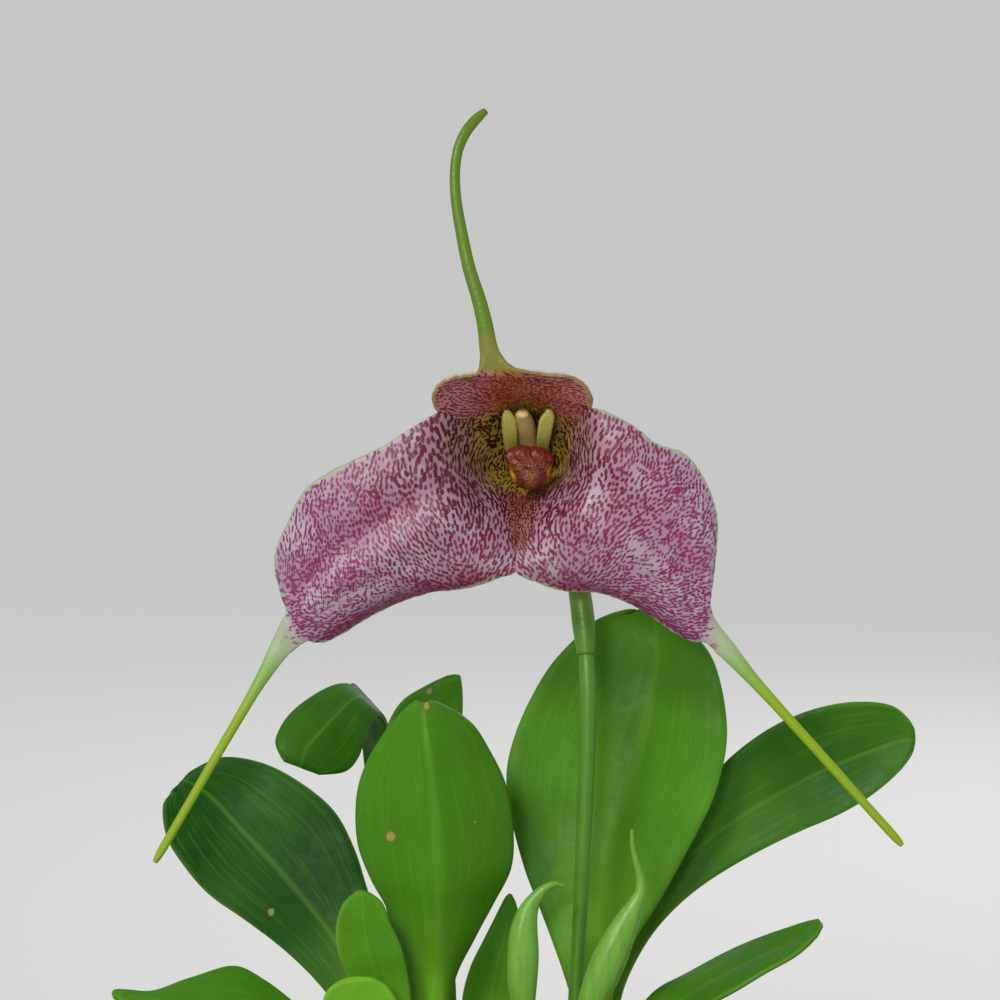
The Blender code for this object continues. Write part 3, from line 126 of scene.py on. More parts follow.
leafRows = {
    "leaf_1": [
        ((-8.1, -3.5, 87.9), (-7.5, -4, 87.7), (-6.7, -3.5, 87.9)),
        ((-9.4, -3, 86.7), (-7.3, -3.8, 86.7), (-5.3, -3, 87.3)),
        ((-11.1, -2.4, 84.6), (-7.1, -3.6, 84.5), (-2.7, -2.2, 85.4)),
        ((-13, -2, 81.3), (-6.8, -3.4, 81.9), (-0.9, -1.6, 82.5)),
        ((-13.9, -1.6, 77.9), (-6.5, -3.2, 78.6), (0.6, -1.2, 79.2)),
        ((-13.8, -1.4, 73.6), (-6.1, -3, 75.3), (1.3, -1, 75)),
        ((-12.6, -1.2, 70.2), (-6, -2.6, 71.5), (1.1, -0.8, 71)),
        ((-11.1, -1, 67.4), (-6, -2.2, 67.8), (-0.6, -0.6, 67.5)),
        ((-9.8, -0.8, 64.3), (-6.1, -1.8, 64.3), (-2.5, -0.4, 64.1)),
        ((-9.2, -0.6, 61.2), (-6.1, -1.4, 61.3), (-4.1, -0.2, 61.1)),
        ((-9, -0.4, 58.2), (-6.2, -1, 58.3), (-5.1, 0, 58.1)),
        ((-8.4, -0.2, 55.2), (-6.3, -0.6, 55.3), (-5.3, 0, 55.2)),
        ((-7.7, 0, 52.2), (-6.4, -0.2, 52.2), (-5.4, 0, 52.2)),
        ((-7.5, 0, 50.4), (-6.5, 0, 50.4), (-5.6, 0, 50.4)),
    ],
    "leaf_2": [
        ((13.1, 10, 95.1), (14, 10.4, 95.4), (15, 10, 95.1)),
        ((9.9, 9, 94.6), (15.1, 10.4, 94.1), (18.8, 9.5, 93.2)),
        ((7.1, 8.4, 92.3), (15.4, 10.2, 90.8), (21, 9, 90.7)),
        ((4.4, 8, 89.1), (14.9, 10, 87.4), (22.2, 8.5, 86.5)),
        ((2, 7.6, 84.5), (14.3, 9.6, 84), (22.4, 8, 82.1)),
        ((0.7, 7.2, 79.9), (13.3, 9.2, 80.3), (21.3, 7.5, 77.4)),
        ((1, 6.8, 75.6), (12, 8.6, 76.6), (19.7, 7, 74)),
        ((2.4, 6.2, 70.2), (10.5, 7.8, 72.7), (17.9, 6.5, 70.7)),
        ((3.8, 5.6, 66.6), (9.9, 7, 68.8), (15.6, 5.8, 66.7)),
        ((5.1, 5, 63.2), (9.5, 6.2, 65), (13.6, 5.2, 63.7)),
        ((6.3, 4.6, 59.8), (9.3, 5.4, 61.1), (11.8, 4.8, 60.4)),
        ((7.3, 4.2, 56.4), (9.2, 4.8, 56.8), (10.9, 4.4, 56.8)),
        ((8, 4, 52.9), (9.2, 4.4, 52.9), (10.2, 4.2, 52.9)),
        ((8.2, 4, 50), (9.2, 4.2, 49.9), (10.1, 4, 50)),
    ],
    "leaf_3": [
        ((-31.9, 7, 77.8), (-31.4, 7.5, 78.7), (-30.4, 8, 79.6)),
        ((-33.2, 6.6, 76.4), (-30.1, 7.6, 78.2), (-27.5, 8.2, 80.9)),
        ((-32.9, 6.2, 73.4), (-28.3, 7.6, 76.8), (-23.5, 8.4, 80.3)),
        ((-31.5, 6, 70.9), (-26, 7.4, 74.3), (-19.8, 8.2, 78.4)),
        ((-28.8, 5.8, 67.7), (-23.3, 7, 71.5), (-16.4, 7.8, 75.6)),
        ((-25, 5.6, 65), (-20.4, 6.6, 68.3), (-14.4, 7.2, 72)),
        ((-21.4, 5.2, 62.3), (-17.7, 6, 65), (-13.2, 6.6, 68.4)),
        ((-18.4, 4.8, 59.5), (-15.4, 5.4, 61.6), (-12, 5.8, 64.6)),
        ((-15.7, 4.4, 56.3), (-13.4, 4.8, 58.1), (-10.8, 5, 60.7)),
        ((-13.3, 4, 53.4), (-11.6, 4.2, 54.6), (-9.8, 4.4, 56.3)),
        ((-11.4, 3.8, 51.3), (-10.4, 4, 51.8), (-9.1, 4, 52.6)),
        ((-10.6, 3.8, 49.3), (-9.7, 4, 49.6), (-8.8, 4, 49.9)),
    ],
    "leaf_4": [
        ((41.1, 13, 80.8), (41.5, 13.4, 82), (41.1, 13, 83.5)),
        ((39.8, 12.6, 79), (40, 13.6, 81.9), (39.2, 13.2, 85.4)),
        ((37.1, 12.4, 76.6), (36.8, 13.8, 80.7), (35.4, 13.4, 85.8)),
        ((33.7, 12.2, 74.6), (32.8, 13.6, 79.1), (31.1, 13.4, 85)),
        ((29.9, 12, 73), (28.5, 13.4, 76.9), (26.8, 13.2, 83.1)),
        ((26.1, 11.6, 71.2), (24.4, 12.8, 74.6), (22.7, 13, 80)),
        ((22.1, 11, 69), (20.5, 12, 71.9), (19.2, 12.6, 76)),
        ((18.7, 10.2, 66.7), (17.3, 11.2, 68.7), (16, 11.8, 71.6)),
        ((15.9, 9.4, 64), (14.8, 10.2, 65.6), (13.6, 10.8, 67.5)),
        ((13.7, 8.6, 60.9), (12.8, 9.2, 62), (11.8, 9.8, 63.4)),
        ((12.1, 8, 57.2), (11.4, 8.4, 58.1), (10.6, 8.8, 59.1)),
        ((11.6, 7.6, 53.3), (10.7, 8, 53.7), (9.8, 8.2, 54.2)),
        ((11.5, 7.4, 49.8), (10.6, 7.6, 50), (9.7, 7.8, 50.1)),
    ],
    "leaf_5": [
        ((30.8, -4.5, 65.6), (31.1, -3, 66.1), (30.8, -1.5, 66.3)),
        ((28.5, -6.2, 63.5), (28.5, -2.6, 64.3), (26.9, 2, 64.3)),
        ((24.8, -6.8, 61.4), (24.4, -2.4, 62.3), (22.5, 4, 61.7)),
        ((21.3, -6.4, 59.3), (20.5, -2.2, 60.3), (18.2, 3.4, 59.7)),
        ((18.5, -5, 57.2), (17.5, -1.8, 58.1), (15.2, 2.4, 58.4)),
        ((16.3, -3.4, 55.3), (15.1, -1.4, 56.2), (13.5, 1, 56.8)),
        ((14.8, -2, 53.4), (13.7, -1, 54.1), (12.6, 0.2, 54.5)),
        ((13.9, -1.6, 51.3), (13, -1, 51.6), (12.2, -0.4, 51.9)),
    ],
    "leaf_6": [
        ((-37, -5, 59), (-37.4, -4.8, 59.7), (-36.7, -4.4, 60)),
        ((-34.6, -6.6, 57.5), (-34.2, -4.8, 58.7), (-33.6, -3, 59.4)),
        ((-30.9, -7.4, 56.5), (-30.7, -4.8, 58.2), (-30.1, -0.6, 60.4)),
        ((-26.6, -7.6, 55.6), (-26.5, -4.4, 57.8), (-26, 1, 61.4)),
        ((-22.5, -6.8, 54.7), (-22.6, -4, 56.9), (-22.8, 0.4, 60.1)),
        ((-19, -5.4, 53.4), (-19.3, -3.6, 55.3), (-19.9, -0.6, 57.7)),
        ((-16.2, -4, 52.2), (-16.5, -3.2, 53.6), (-16.9, -1.8, 55)),
        ((-14.3, -3.4, 51.1), (-14.3, -3, 52.1), (-14.5, -2.4, 53.1)),
        ((-13.2, -3.2, 50.2), (-13, -3, 51), (-12.8, -2.6, 51.8)),
    ],
    "leaf_7": [
        ((-21.6, 12, 80.1), (-20, 12.6, 79.3), (-18, 13, 78.5)),
        ((-22.4, 13, 81.8), (-19.5, 13, 81), (-15.5, 14, 78.7)),
        ((-21.4, 15, 84), (-18.2, 14, 82.4), (-14.2, 15, 80)),
        ((-19.3, 17, 85.7), (-16.6, 15.6, 83.9), (-13.5, 16, 81.9)),
        ((-17.2, 19, 86.7), (-15.1, 17.4, 85.2), (-12.9, 17.4, 83.3)),
        ((-15.4, 21, 86.8), (-13.7, 19.4, 85.1), (-12, 19, 83.7)),
        ((-14.7, 23, 85.7), (-12.9, 21.2, 83.7), (-11.3, 20.2, 82)),
        ((-14.3, 24, 82.5), (-12.3, 22, 80.3), (-10.6, 20.6, 78.2)),
        ((-13.8, 23, 77.7), (-11.6, 21.6, 75.7), (-9.7, 20.2, 73.6)),
        ((-12.9, 21.2, 71.6), (-10.8, 20.2, 69.9), (-8.9, 19, 68.3)),
        ((-11.7, 19.2, 65), (-9.9, 18.4, 63.9), (-8.4, 17.4, 62.7)),
        ((-10.2, 17, 58.2), (-9, 16.4, 57.7), (-7.8, 15.8, 57.2)),
        ((-9.1, 14, 52.6), (-8.1, 13.8, 52.4), (-7.1, 13.6, 52.3)),
        ((-8.5, 11.8, 49.2), (-7.6, 11.8, 49.1), (-6.7, 11.8, 49)),
    ],
    "leaf_8": [
        ((-5.3, 9, 88.9), (-4.4, 9, 89), (-3.9, 9, 88.9)),
        ((-7.5, 8.8, 87.8), (-5.5, 9.2, 87.5), (-3.7, 9, 87.3)),
        ((-9.7, 8.6, 86.4), (-6.7, 9.4, 85.4), (-3.7, 9, 85)),
        ((-11.1, 8.6, 84), (-7.5, 9.6, 82.4), (-3.9, 9.2, 82)),
        ((-11.9, 8.8, 80.5), (-7.9, 9.8, 78.9), (-4.1, 9.4, 78.5)),
        ((-11.7, 9, 76), (-8, 9.8, 74.9), (-4.4, 9.4, 74.5)),
        ((-10.7, 8.8, 70.6), (-7.7, 9.6, 70), (-4.8, 9.2, 69.5)),
        ((-9.1, 8.6, 64.6), (-6.9, 9.2, 64), (-4.7, 9, 63.7)),
        ((-7.5, 8.4, 58.6), (-6, 8.8, 58.4), (-4.4, 8.6, 58.2)),
        ((-6.2, 8.2, 53.2), (-5.2, 8.4, 53.1), (-4.2, 8.2, 53.2)),
        ((-5.5, 8, 49.5), (-4.6, 8.2, 49.4), (-3.7, 8, 49.5)),
    ],
    "leaf_9": [
        ((-13.9, -5.4, 69.6), (-13.3, -5.4, 69.7), (-12.6, -5.4, 69.5)),
        ((-15.1, -5.8, 68.4), (-13.3, -5.2, 68.3), (-11.3, -5.4, 68.5)),
        ((-15.7, -6, 66.4), (-13.1, -5, 66), (-10.5, -5.4, 66.4)),
        ((-15.6, -6, 64), (-12.7, -4.8, 63.6), (-9.6, -5.2, 64.4)),
        ((-14.7, -5.8, 61.6), (-12, -4.6, 61.3), (-9, -5, 62.1)),
        ((-13.5, -5.4, 58.8), (-11.1, -4.4, 58.7), (-8.6, -4.8, 59.5)),
        ((-12, -4.8, 56), (-10.1, -4.2, 55.9), (-8.3, -4.6, 56.5)),
        ((-10.6, -4.2, 53.5), (-9.5, -4, 53.6), (-8.2, -4.2, 53.8)),
        ((-10.1, -3.8, 51.4), (-9.2, -3.8, 51.4), (-8.3, -3.8, 51.5)),
    ],
    "leaf_10": [
        ((0.5, 3.4, 67.7), (1, 3.4, 68), (1.3, 3.4, 67.6)),
        ((-0.3, 3.2, 66), (0.8, 3.6, 66.2), (1.8, 3.2, 66)),
        ((-1.6, 3, 63.5), (0.3, 3.6, 63.4), (2.1, 3, 63.5)),
        ((-2.9, 3, 60.8), (-0.4, 3.8, 60.6), (1.9, 3, 60.8)),
        ((-3.7, 3.2, 57.5), (-1, 4, 57.4), (1.4, 3.2, 57.5)),
        ((-3.5, 3.6, 54), (-1.6, 4, 53.9), (0.3, 3.6, 54)),
        ((-3.1, 3.8, 51.5), (-2.1, 4, 51.4), (-0.9, 3.8, 51.5)),
        ((-3, 4, 49.7), (-2.2, 4, 49.7), (-1.3, 4, 49.7)),
    ],
    "leaf_11": [
        ((-14.8, -9.2, 61.8), (-13.6, -9, 62), (-12.2, -9.2, 61.9)),
        ((-16.4, -9.6, 60.8), (-13.6, -8.9, 60.7), (-10.7, -9.4, 61)),
        ((-17, -9.8, 58.9), (-13.4, -8.7, 58.7), (-9.7, -9.4, 59.3)),
        ((-16.6, -9.4, 56.7), (-13, -8.4, 56.5), (-9.4, -9, 57.1)),
        ((-15.3, -8.8, 54.6), (-12.5, -8, 54.4), (-9.5, -8.4, 54.8)),
        ((-13.6, -8, 52.8), (-11.7, -7.6, 52.7), (-9.8, -7.8, 52.9)),
        ((-12.1, -7.2, 51.2), (-11.1, -7.2, 51.3), (-10.2, -7.2, 51.4)),
    ],
}
petalRows = {
    "petal_left": [
        ((0.38, -4.4, 115.78), (0.67, -4.4, 115.88), (0.96, -4.4, 115.68)),
        ((0.19, -4.2, 115.1), (0.72, -4.1, 115.19), (1.24, -4, 115.09)),
        ((0.19, -3.2, 113.89), (0.77, -3.1, 113.89), (1.34, -3, 113.79)),
        ((0.34, -1.9, 112.67), (0.87, -1.8, 112.57), (1.4, -1.7, 112.56)),
        ((0.58, -0.9, 111.74), (1.01, -0.8, 111.64), (1.45, -0.7, 111.63)),
        ((0.87, 0.4, 110.89), (1.16, 0.5, 110.78), (1.45, 0.6, 110.78)),
    ],
    "petal_right": [
        ((4.4, -4.6, 115.89), (4.68, -4.6, 115.98), (4.97, -4.6, 115.79)),
        ((4.11, -4.3, 115.11), (4.69, -4.2, 115.2), (5.22, -4.2, 115.1)),
        ((3.93, -3.2, 113.8), (4.51, -3.1, 113.79), (4.99, -3.1, 113.7)),
        ((3.85, -1.9, 112.57), (4.33, -1.8, 112.57), (4.76, -1.7, 112.56)),
        ((3.91, -0.8, 111.73), (4.29, -0.7, 111.63), (4.63, -0.6, 111.63)),
        ((3.97, 0.4, 110.89), (4.21, 0.5, 110.78), (4.45, 0.6, 110.78)),
    ],
}
stalkRows = {
    "column": [
        ((2.9, 0.6, 109.81), 0.87),
        ((2.85, 0, 111.59), 0.97),
        ((2.6, -1.2, 113.3), 1.01),
        ((2.35, -2.7, 114.54), 0.96),
        ((2.16, -3.6, 115.26), 0.77),
    ],
    "flower_stem": [
        ((7.22, 0, 50.14), 0.68),
        ((7.26, 0, 53.19), 0.68),
        ((7.31, 0, 58.12), 0.68),
        ((7.59, 0, 63.03), 0.70),
        ((8.07, 0, 72.84), 0.73),
        ((8.44, 0, 81.64), 0.77),
        ((8.54, 0.2, 87.47), 0.82),
        ((8.44, 0.6, 90.55), 0.79),
        ((8.33, 0.9, 92.47), 0.64),
    ],
    "ovary": [
        ((8.27, 1, 93.24), 0.48),
        ((8.06, 1.4, 95.64), 0.50),
        ((7.68, 2, 98.52), 0.54),
        ((7.11, 3.2, 101.34), 0.62),
        ((6.26, 4.8, 103.96), 0.80),
        ((5.09, 6, 106.32), 0.98),
        ((3.92, 5.9, 108.1), 1.12),
        ((3.12, 4.6, 109.16), 1.17),
        ((2.72, 3.1, 109.65), 1.07),
    ],
    "floral_bract": [
        ((8.36, 0.8, 91.9), 1.08),
        ((8.18, 1.2, 94.2), 1.09),
        ((7.92, 1.6, 96.6), 1.11),
        ((7.63, 2.1, 98.7), 1.05),
    ],
    "flower_bud_1": [
        ((2.32, -4, 50.91), 0.67),
        ((2.32, -4, 53.46), 0.72),
        ((2.32, -4, 55.9), 0.86),
        ((2.22, -4, 58.34), 1.15),
        ((2.12, -4, 60.77), 1.44),
        ((2.17, -4, 63.21), 1.51),
        ((2.22, -4, 65.16), 1.39),
        ((2.51, -4, 66.91), 1.10),
        ((3.09, -4, 68.27), 0.77),
        ((3.86, -4, 69.24), 0.58),
        ((4.63, -4, 69.87), 0.48),
        ((5.4, -4, 70.12), 0.42),
        ((6.07, -4, 69.92), 0.29),
    ],
    "flower_bud_2": [
        ((7.35, -4, 50.91), 0.67),
        ((7.49, -4, 52.77), 0.72),
        ((7.83, -4, 54.92), 0.86),
        ((8.5, -4, 57.65), 1.20),
        ((9.46, -4, 60.29), 1.55),
        ((10.52, -4, 62.92), 1.66),
        ((11.48, -4, 65.06), 1.46),
        ((12.34, -4, 66.81), 1.11),
        ((13.02, -4, 68.07), 0.81),
        ((13.54, -4, 69.34), 0.58),
        ((13.49, -4, 70.8), 0.48),
        ((13.1, -4, 72.35), 0.42),
        ((12.76, -4, 73.9), 0.38),
        ((12.71, -4, 75.26), 0.29),
    ],
}


def srgb(r, g, b):
    # A colour as seen on a screen, 0 to 255, turned into light
    def channel(c):
        c /= 255.0
        return c / 12.92 if c <= 0.04045 else ((c + 0.055) / 1.055) ** 2.4
    return (channel(r), channel(g), channel(b), 1.0)


def ramp(x, low, high):
    # Smooth step from 0 at low to 1 at high; low may be the larger
    u = min(1.0, max(0.0, (x - low) / (high - low)))
    return u * u * (3.0 - 2.0 * u)


# Shading helpers

class Nodes:
    # Short calls that add nodes to one tree; constants are set on the sockets

    def __init__(self, tree):
        self.tree = tree
        self.count = 0

    def add(self, kind, inputs=None, **settings):
        node = self.tree.nodes.new(kind)
        self.count += 1
        node.location = (180 * (self.count % 12), -160 * (self.count // 12))
        for name, value in settings.items():
            setattr(node, name, value)
        for key, value in (inputs or {}).items():
            self.set(node.inputs[key], value)
        return node

    def set(self, socket, value):
        if isinstance(value, bpy.types.NodeSocket):
            self.tree.links.new(value, socket)
        elif value is not None:
            socket.default_value = value

    def math(self, operation, a, b=None):
        return self.add("ShaderNodeMath", {0: a, 1: b}, operation=operation).outputs[0]

    def vector(self, operation, a, b):
        node = self.add("ShaderNodeVectorMath", {0: a, 1: b}, operation=operation)
        return node.outputs["Value" if operation == "DISTANCE" else "Vector"]

    def mix(self, factor, a, b):
        node = self.add("ShaderNodeMix", {"Factor": factor}, data_type="RGBA", clamp_factor=True)
        self.set(node.inputs[6], a)
        self.set(node.inputs[7], b)
        return node.outputs[2]

    def span(self, value, low, high, outLow=0.0, outHigh=1.0):
        inputs = {"Value": value, "From Min": low, "From Max": high, "To Min": outLow, "To Max": outHigh}
        return self.add("ShaderNodeMapRange", inputs, interpolation_type="SMOOTHSTEP").outputs["Result"]

    def noise(self, vector, scale, detail=3.0, rough=0.5):
        return self.add("ShaderNodeTexNoise", {"Vector": vector, "Scale": scale, "Detail": detail,
                                               "Roughness": rough}).outputs[0]

    def voronoi(self, vector, scale, feature="F1"):
        node = self.add("ShaderNodeTexVoronoi", {"Vector": vector, "Scale": scale}, feature=feature)
        return node.outputs["Distance"]

    def attribute(self, name):
        return self.add("ShaderNodeAttribute", attribute_name=name, attribute_type="GEOMETRY").outputs["Fac"]

    def bump(self, height, strength, distance):
        return self.add("ShaderNodeBump", {"Height": height, "Strength": strength,
                                           "Distance": distance}).outputs["Normal"]


def newMaterial(name, preview):
    made = bpy.data.materials.new(name)
    made.use_nodes = True
    made.diffuse_color = preview
    nodes = Nodes(made.node_tree)
    shader = made.node_tree.nodes["Principled BSDF"]
    return made, nodes, shader


def objectPoint(nodes):
    return nodes.add("ShaderNodeTexCoord").outputs["Object"]


def grainGroup():
    # A fine uneven gloss between two values, shared by the plant's skins
    group = bpy.data.node_groups.new("skinGrain", "ShaderNodeTree")
    for name, kind in (("Point", "Vector"), ("Scale", "Float"), ("Smooth", "Float"), ("Dull", "Float")):
        group.interface.new_socket(name, in_out="INPUT", socket_type="NodeSocket" + kind)
    group.interface.new_socket("Gloss", in_out="OUTPUT", socket_type="NodeSocketFloat")
    nodes = Nodes(group)
    given = nodes.add("NodeGroupInput").outputs
    fine = nodes.noise(given["Point"], given["Scale"], 2.0)
    gloss = nodes.span(fine, 0.35, 0.7, given["Smooth"], given["Dull"])
    nodes.set(nodes.add("NodeGroupOutput").inputs["Gloss"], gloss)
    return group


skinGrain = grainGroup()


def setGloss(nodes, shader, point, scale, smooth, dull):
    node = nodes.add("ShaderNodeGroup", {}, node_tree=skinGrain)
    for key, value in (("Point", point), ("Scale", scale), ("Smooth", smooth), ("Dull", dull)):
        nodes.set(node.inputs[key], value)
    nodes.set(shader.inputs["Roughness"], node.outputs["Gloss"])


# Geometry helpers

def blend(values, s):
    # Smooth curve through a list of rows, at station s
    last = len(values) - 1
    i = min(int(s), last - 1)
    u = s - i
    a, b = values[max(i - 1, 0)], values[i]
    c, d = values[i + 1], values[min(i + 2, last)]
    return [0.5 * (2 * q + (r - p) * u + (2 * p - 5 * q + 4 * r - t) * u * u
                   + (3 * q - p - 3 * r + t) * u ** 3) for p, q, r, t in zip(a, b, c, d)]


def across(row, t):
    # Point on the arc through the row's three points
    a, b, c = (1 - t) * (1 - 2 * t), 4 * t * (1 - t), t * (2 * t - 1)
    return Vector([a * p + b * q + c * r for p, q, r in zip(row[0:3], row[3:6], row[6:9])])


def flatRows(rows):
    return [[c for point in row[:3] for c in point] + list(row[3:]) for row in rows]


def surfaceNormals(points, quads):
    # The direction that the surface faces at each point, as unit vectors
    normals = [Vector() for _ in points]
    for quad in quads:
        p = [points[i] for i in quad]
        n = (p[2] - p[0]).cross(p[-1] - p[1]) if len(quad) == 4 else (p[1] - p[0]).cross(p[2] - p[0])
        for i in quad:
            normals[i] += n
    for n in normals:
        n.normalize()
    return normals


def sheetFaces(points, normals, quads, half):
    # Closed sheet round a middle surface: front, back and a rim on its free edges
    count = len(points)
    verts = [p + n * h for p, n, h in zip(points, normals, half)]
    verts += [p - n * h for p, n, h in zip(points, normals, half)]
    faces = list(quads) + [tuple(count + i for i in reversed(q)) for q in quads]
    edges = {(a, q[(i + 1) % len(q)]) for q in quads for i, a in enumerate(q)}
    faces += [(b, a, count + a, count + b) for a, b in edges if (b, a) not in edges]
    return verts, faces


def gridQuads(rows, columns):
    # Four-sided faces over a grid of points laid row by row
    step = columns + 1
    corners = [k * step + j for k in range(rows) for j in range(columns)]
    return [(a, a + step, a + step + 1, a + 1) for a in corners]


def rowWidth(row):
    return (Vector(row[6:9]) - Vector(row[0:3])).length


def newPiece(name, verts, faces, material, attributes=None):
    mesh = bpy.data.meshes.new(name)
    mesh.from_pydata([tuple(c * mm for c in v) for v in verts], [], faces)
    mesh.update()
    mesh.materials.append(material)
    for key, values in (attributes or {}).items():
        layer = mesh.attributes.new(key, "FLOAT", "POINT")
        layer.data.foreach_set("value", values)
    mesh.shade_smooth()
    made = bpy.data.objects.new(name, mesh)
    bpy.context.scene.collection.objects.link(made)
    return made


def place(piece, nodeNames, slotName):
    # Fix a piece to the plant, in place of the solids it stands for
    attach(piece, "root")
    if nodeNames:
        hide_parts(*nodeNames)
    return piece


def tubeMesh(path, sides, squash=1.0, ribs=None, capped=True):
    # Vertices and faces of a round stalk along (point, radius) pairs; ribs(k, angle) scales it
    centres = [Vector(p) for p, _ in path]
    count = len(centres)
    side = Vector((1.0, 0.0, 0.0))
    verts, faces, along = [], [], []
    for k, centre in enumerate(centres):
        direction = (centres[min(k + 1, count - 1)] - centres[max(k - 1, 0)]).normalized()
        side = (side - direction * side.dot(direction)).normalized()
        other = direction.cross(side)
        for i in range(sides):
            a = 2 * math.pi * i / sides
            r = path[k][1] * (ribs(k / (count - 1), a) if ribs else 1.0)
            verts.append(centre + side * (r * math.cos(a)) + other * (r * squash * math.sin(a)))
            along.append(k / (count - 1))
    for k in range(count - 1):
        for i in range(sides):
            j = (i + 1) % sides
            faces.append((k * sides + i, k * sides + j, (k + 1) * sides + j, (k + 1) * sides + i))
    if capped:
        for k, flip in ((0, True), (count - 1, False)):
            hub = len(verts)
            verts.append(centres[k])
            along.append(k / (count - 1))
            for i in range(sides):
                a, b = k * sides + i, k * sides + (i + 1) % sides
                faces.append((hub, b, a) if flip else (hub, a, b))
    return verts, faces, along


def finePath(path, steps, roundEnds=(False, False)):
    # A smooth path through (point, radius) pairs, with rounded ends where asked
    rows = [list(p) + [r] for p, r in path]
    fine = []
    for k in range(steps * (len(rows) - 1) + 1):
        row = blend(rows, k / steps)
        fine.append((Vector(row[:3]), row[3]))
    for end in (0, 1):
        if not roundEnds[end]:
            continue
        tip, near = (fine[0], fine[1]) if end == 0 else (fine[-1], fine[-2])
        out = (tip[0] - near[0]).normalized()
        dome = [(tip[0] + out * (tip[1] * math.sin(a)), tip[1] * math.cos(a))
                for a in (0.45, 0.85, 1.2, 1.48)]
        fine = dome[::-1] + fine if end == 0 else fine + dome
    return fine


def ringTube(name, path, sides, material, slotName, nodeNames, squash=1.0, ribs=None):
    verts, faces, along = tubeMesh(path, sides, squash, ribs=ribs)
    piece = newPiece(name, verts, faces, material, {"along": along})
    return place(piece, nodeNames, slotName)


# Calyx

calyxLook = {
    "rowsPerStation": 15, "rowsPerTailStation": 5, "columns": 148,
    "halfThickness": 0.27, "edgeRadius": 0.22, "tailHalf": 0.36, "crimp": 0.05,
    "sharedStations": 4.0, "seed": 11,
    "ground": srgb(158, 134, 154), "groundPink": srgb(150, 86, 118), "groundWhite": srgb(174, 164, 176),
    "yellow": srgb(168, 144, 40), "brown": srgb(156, 118, 78), "chin": srgb(140, 78, 58),
    "hood": srgb(166, 88, 54), "hoodPink": srgb(170, 104, 112), "hoodRim": srgb(128, 112, 62),
    "nearTail": srgb(150, 166, 128), "lateralTail": srgb(120, 160, 66), "tailTip": srgb(130, 158, 14),
    "dorsalBase": srgb(120, 116, 36), "dorsalTail": srgb(88, 118, 8), "margin": srgb(156, 162, 136),
    "dash": srgb(114, 2, 46), "dashPurple": srgb(122, 16, 80), "dashNear": srgb(76, 2, 22),
    "dashDeep": srgb(40, 3, 8), "hoodDash": srgb(82, 3, 14), "lowEdge": srgb(112, 16, 62),
    "back": srgb(204, 192, 176), "vein": srgb(140, 148, 96),
    # Stations from the cup's base at which each sepal's broad part ends
    "bladeEnd": {"left": 14, "right": 14, "dorsal": 10},
    "marginWidth": {"left": 0.5, "right": 0.5, "dorsal": 0.46},
    # Places on the flower's front, in millimetres: x, z
    "throatAt": (0.6, 113.2), "hoodPeak": (2.4, 115.75), "hoodMiddle": 1.8, "chinFoot": (1.75, 101.0),
    "fans": {"left": (-2.85, 95.6), "right": (6.2, 96.2), "dorsal": (2.3, 115.4)},
    # Soft ovals of colour round the throat: place, and half width and height
    "yellowPatches": [((-0.3, 114.2), (2.3, 2.9)), ((5.6, 112.8), (1.5, 2.9))],
    "brownPatch": ((1.8, 113.0), (6.9, 5.4)),
    # Dashes: length and width on the hood, on the blades, and as dots in the throat
    "hoodDashSize": (0.44, 0.2), "bladeDashSize": (0.56, 0.25), "dotSize": (0.34, 0.2),
    "dashLean": 0.2, "fadeReach": 0.16,
}


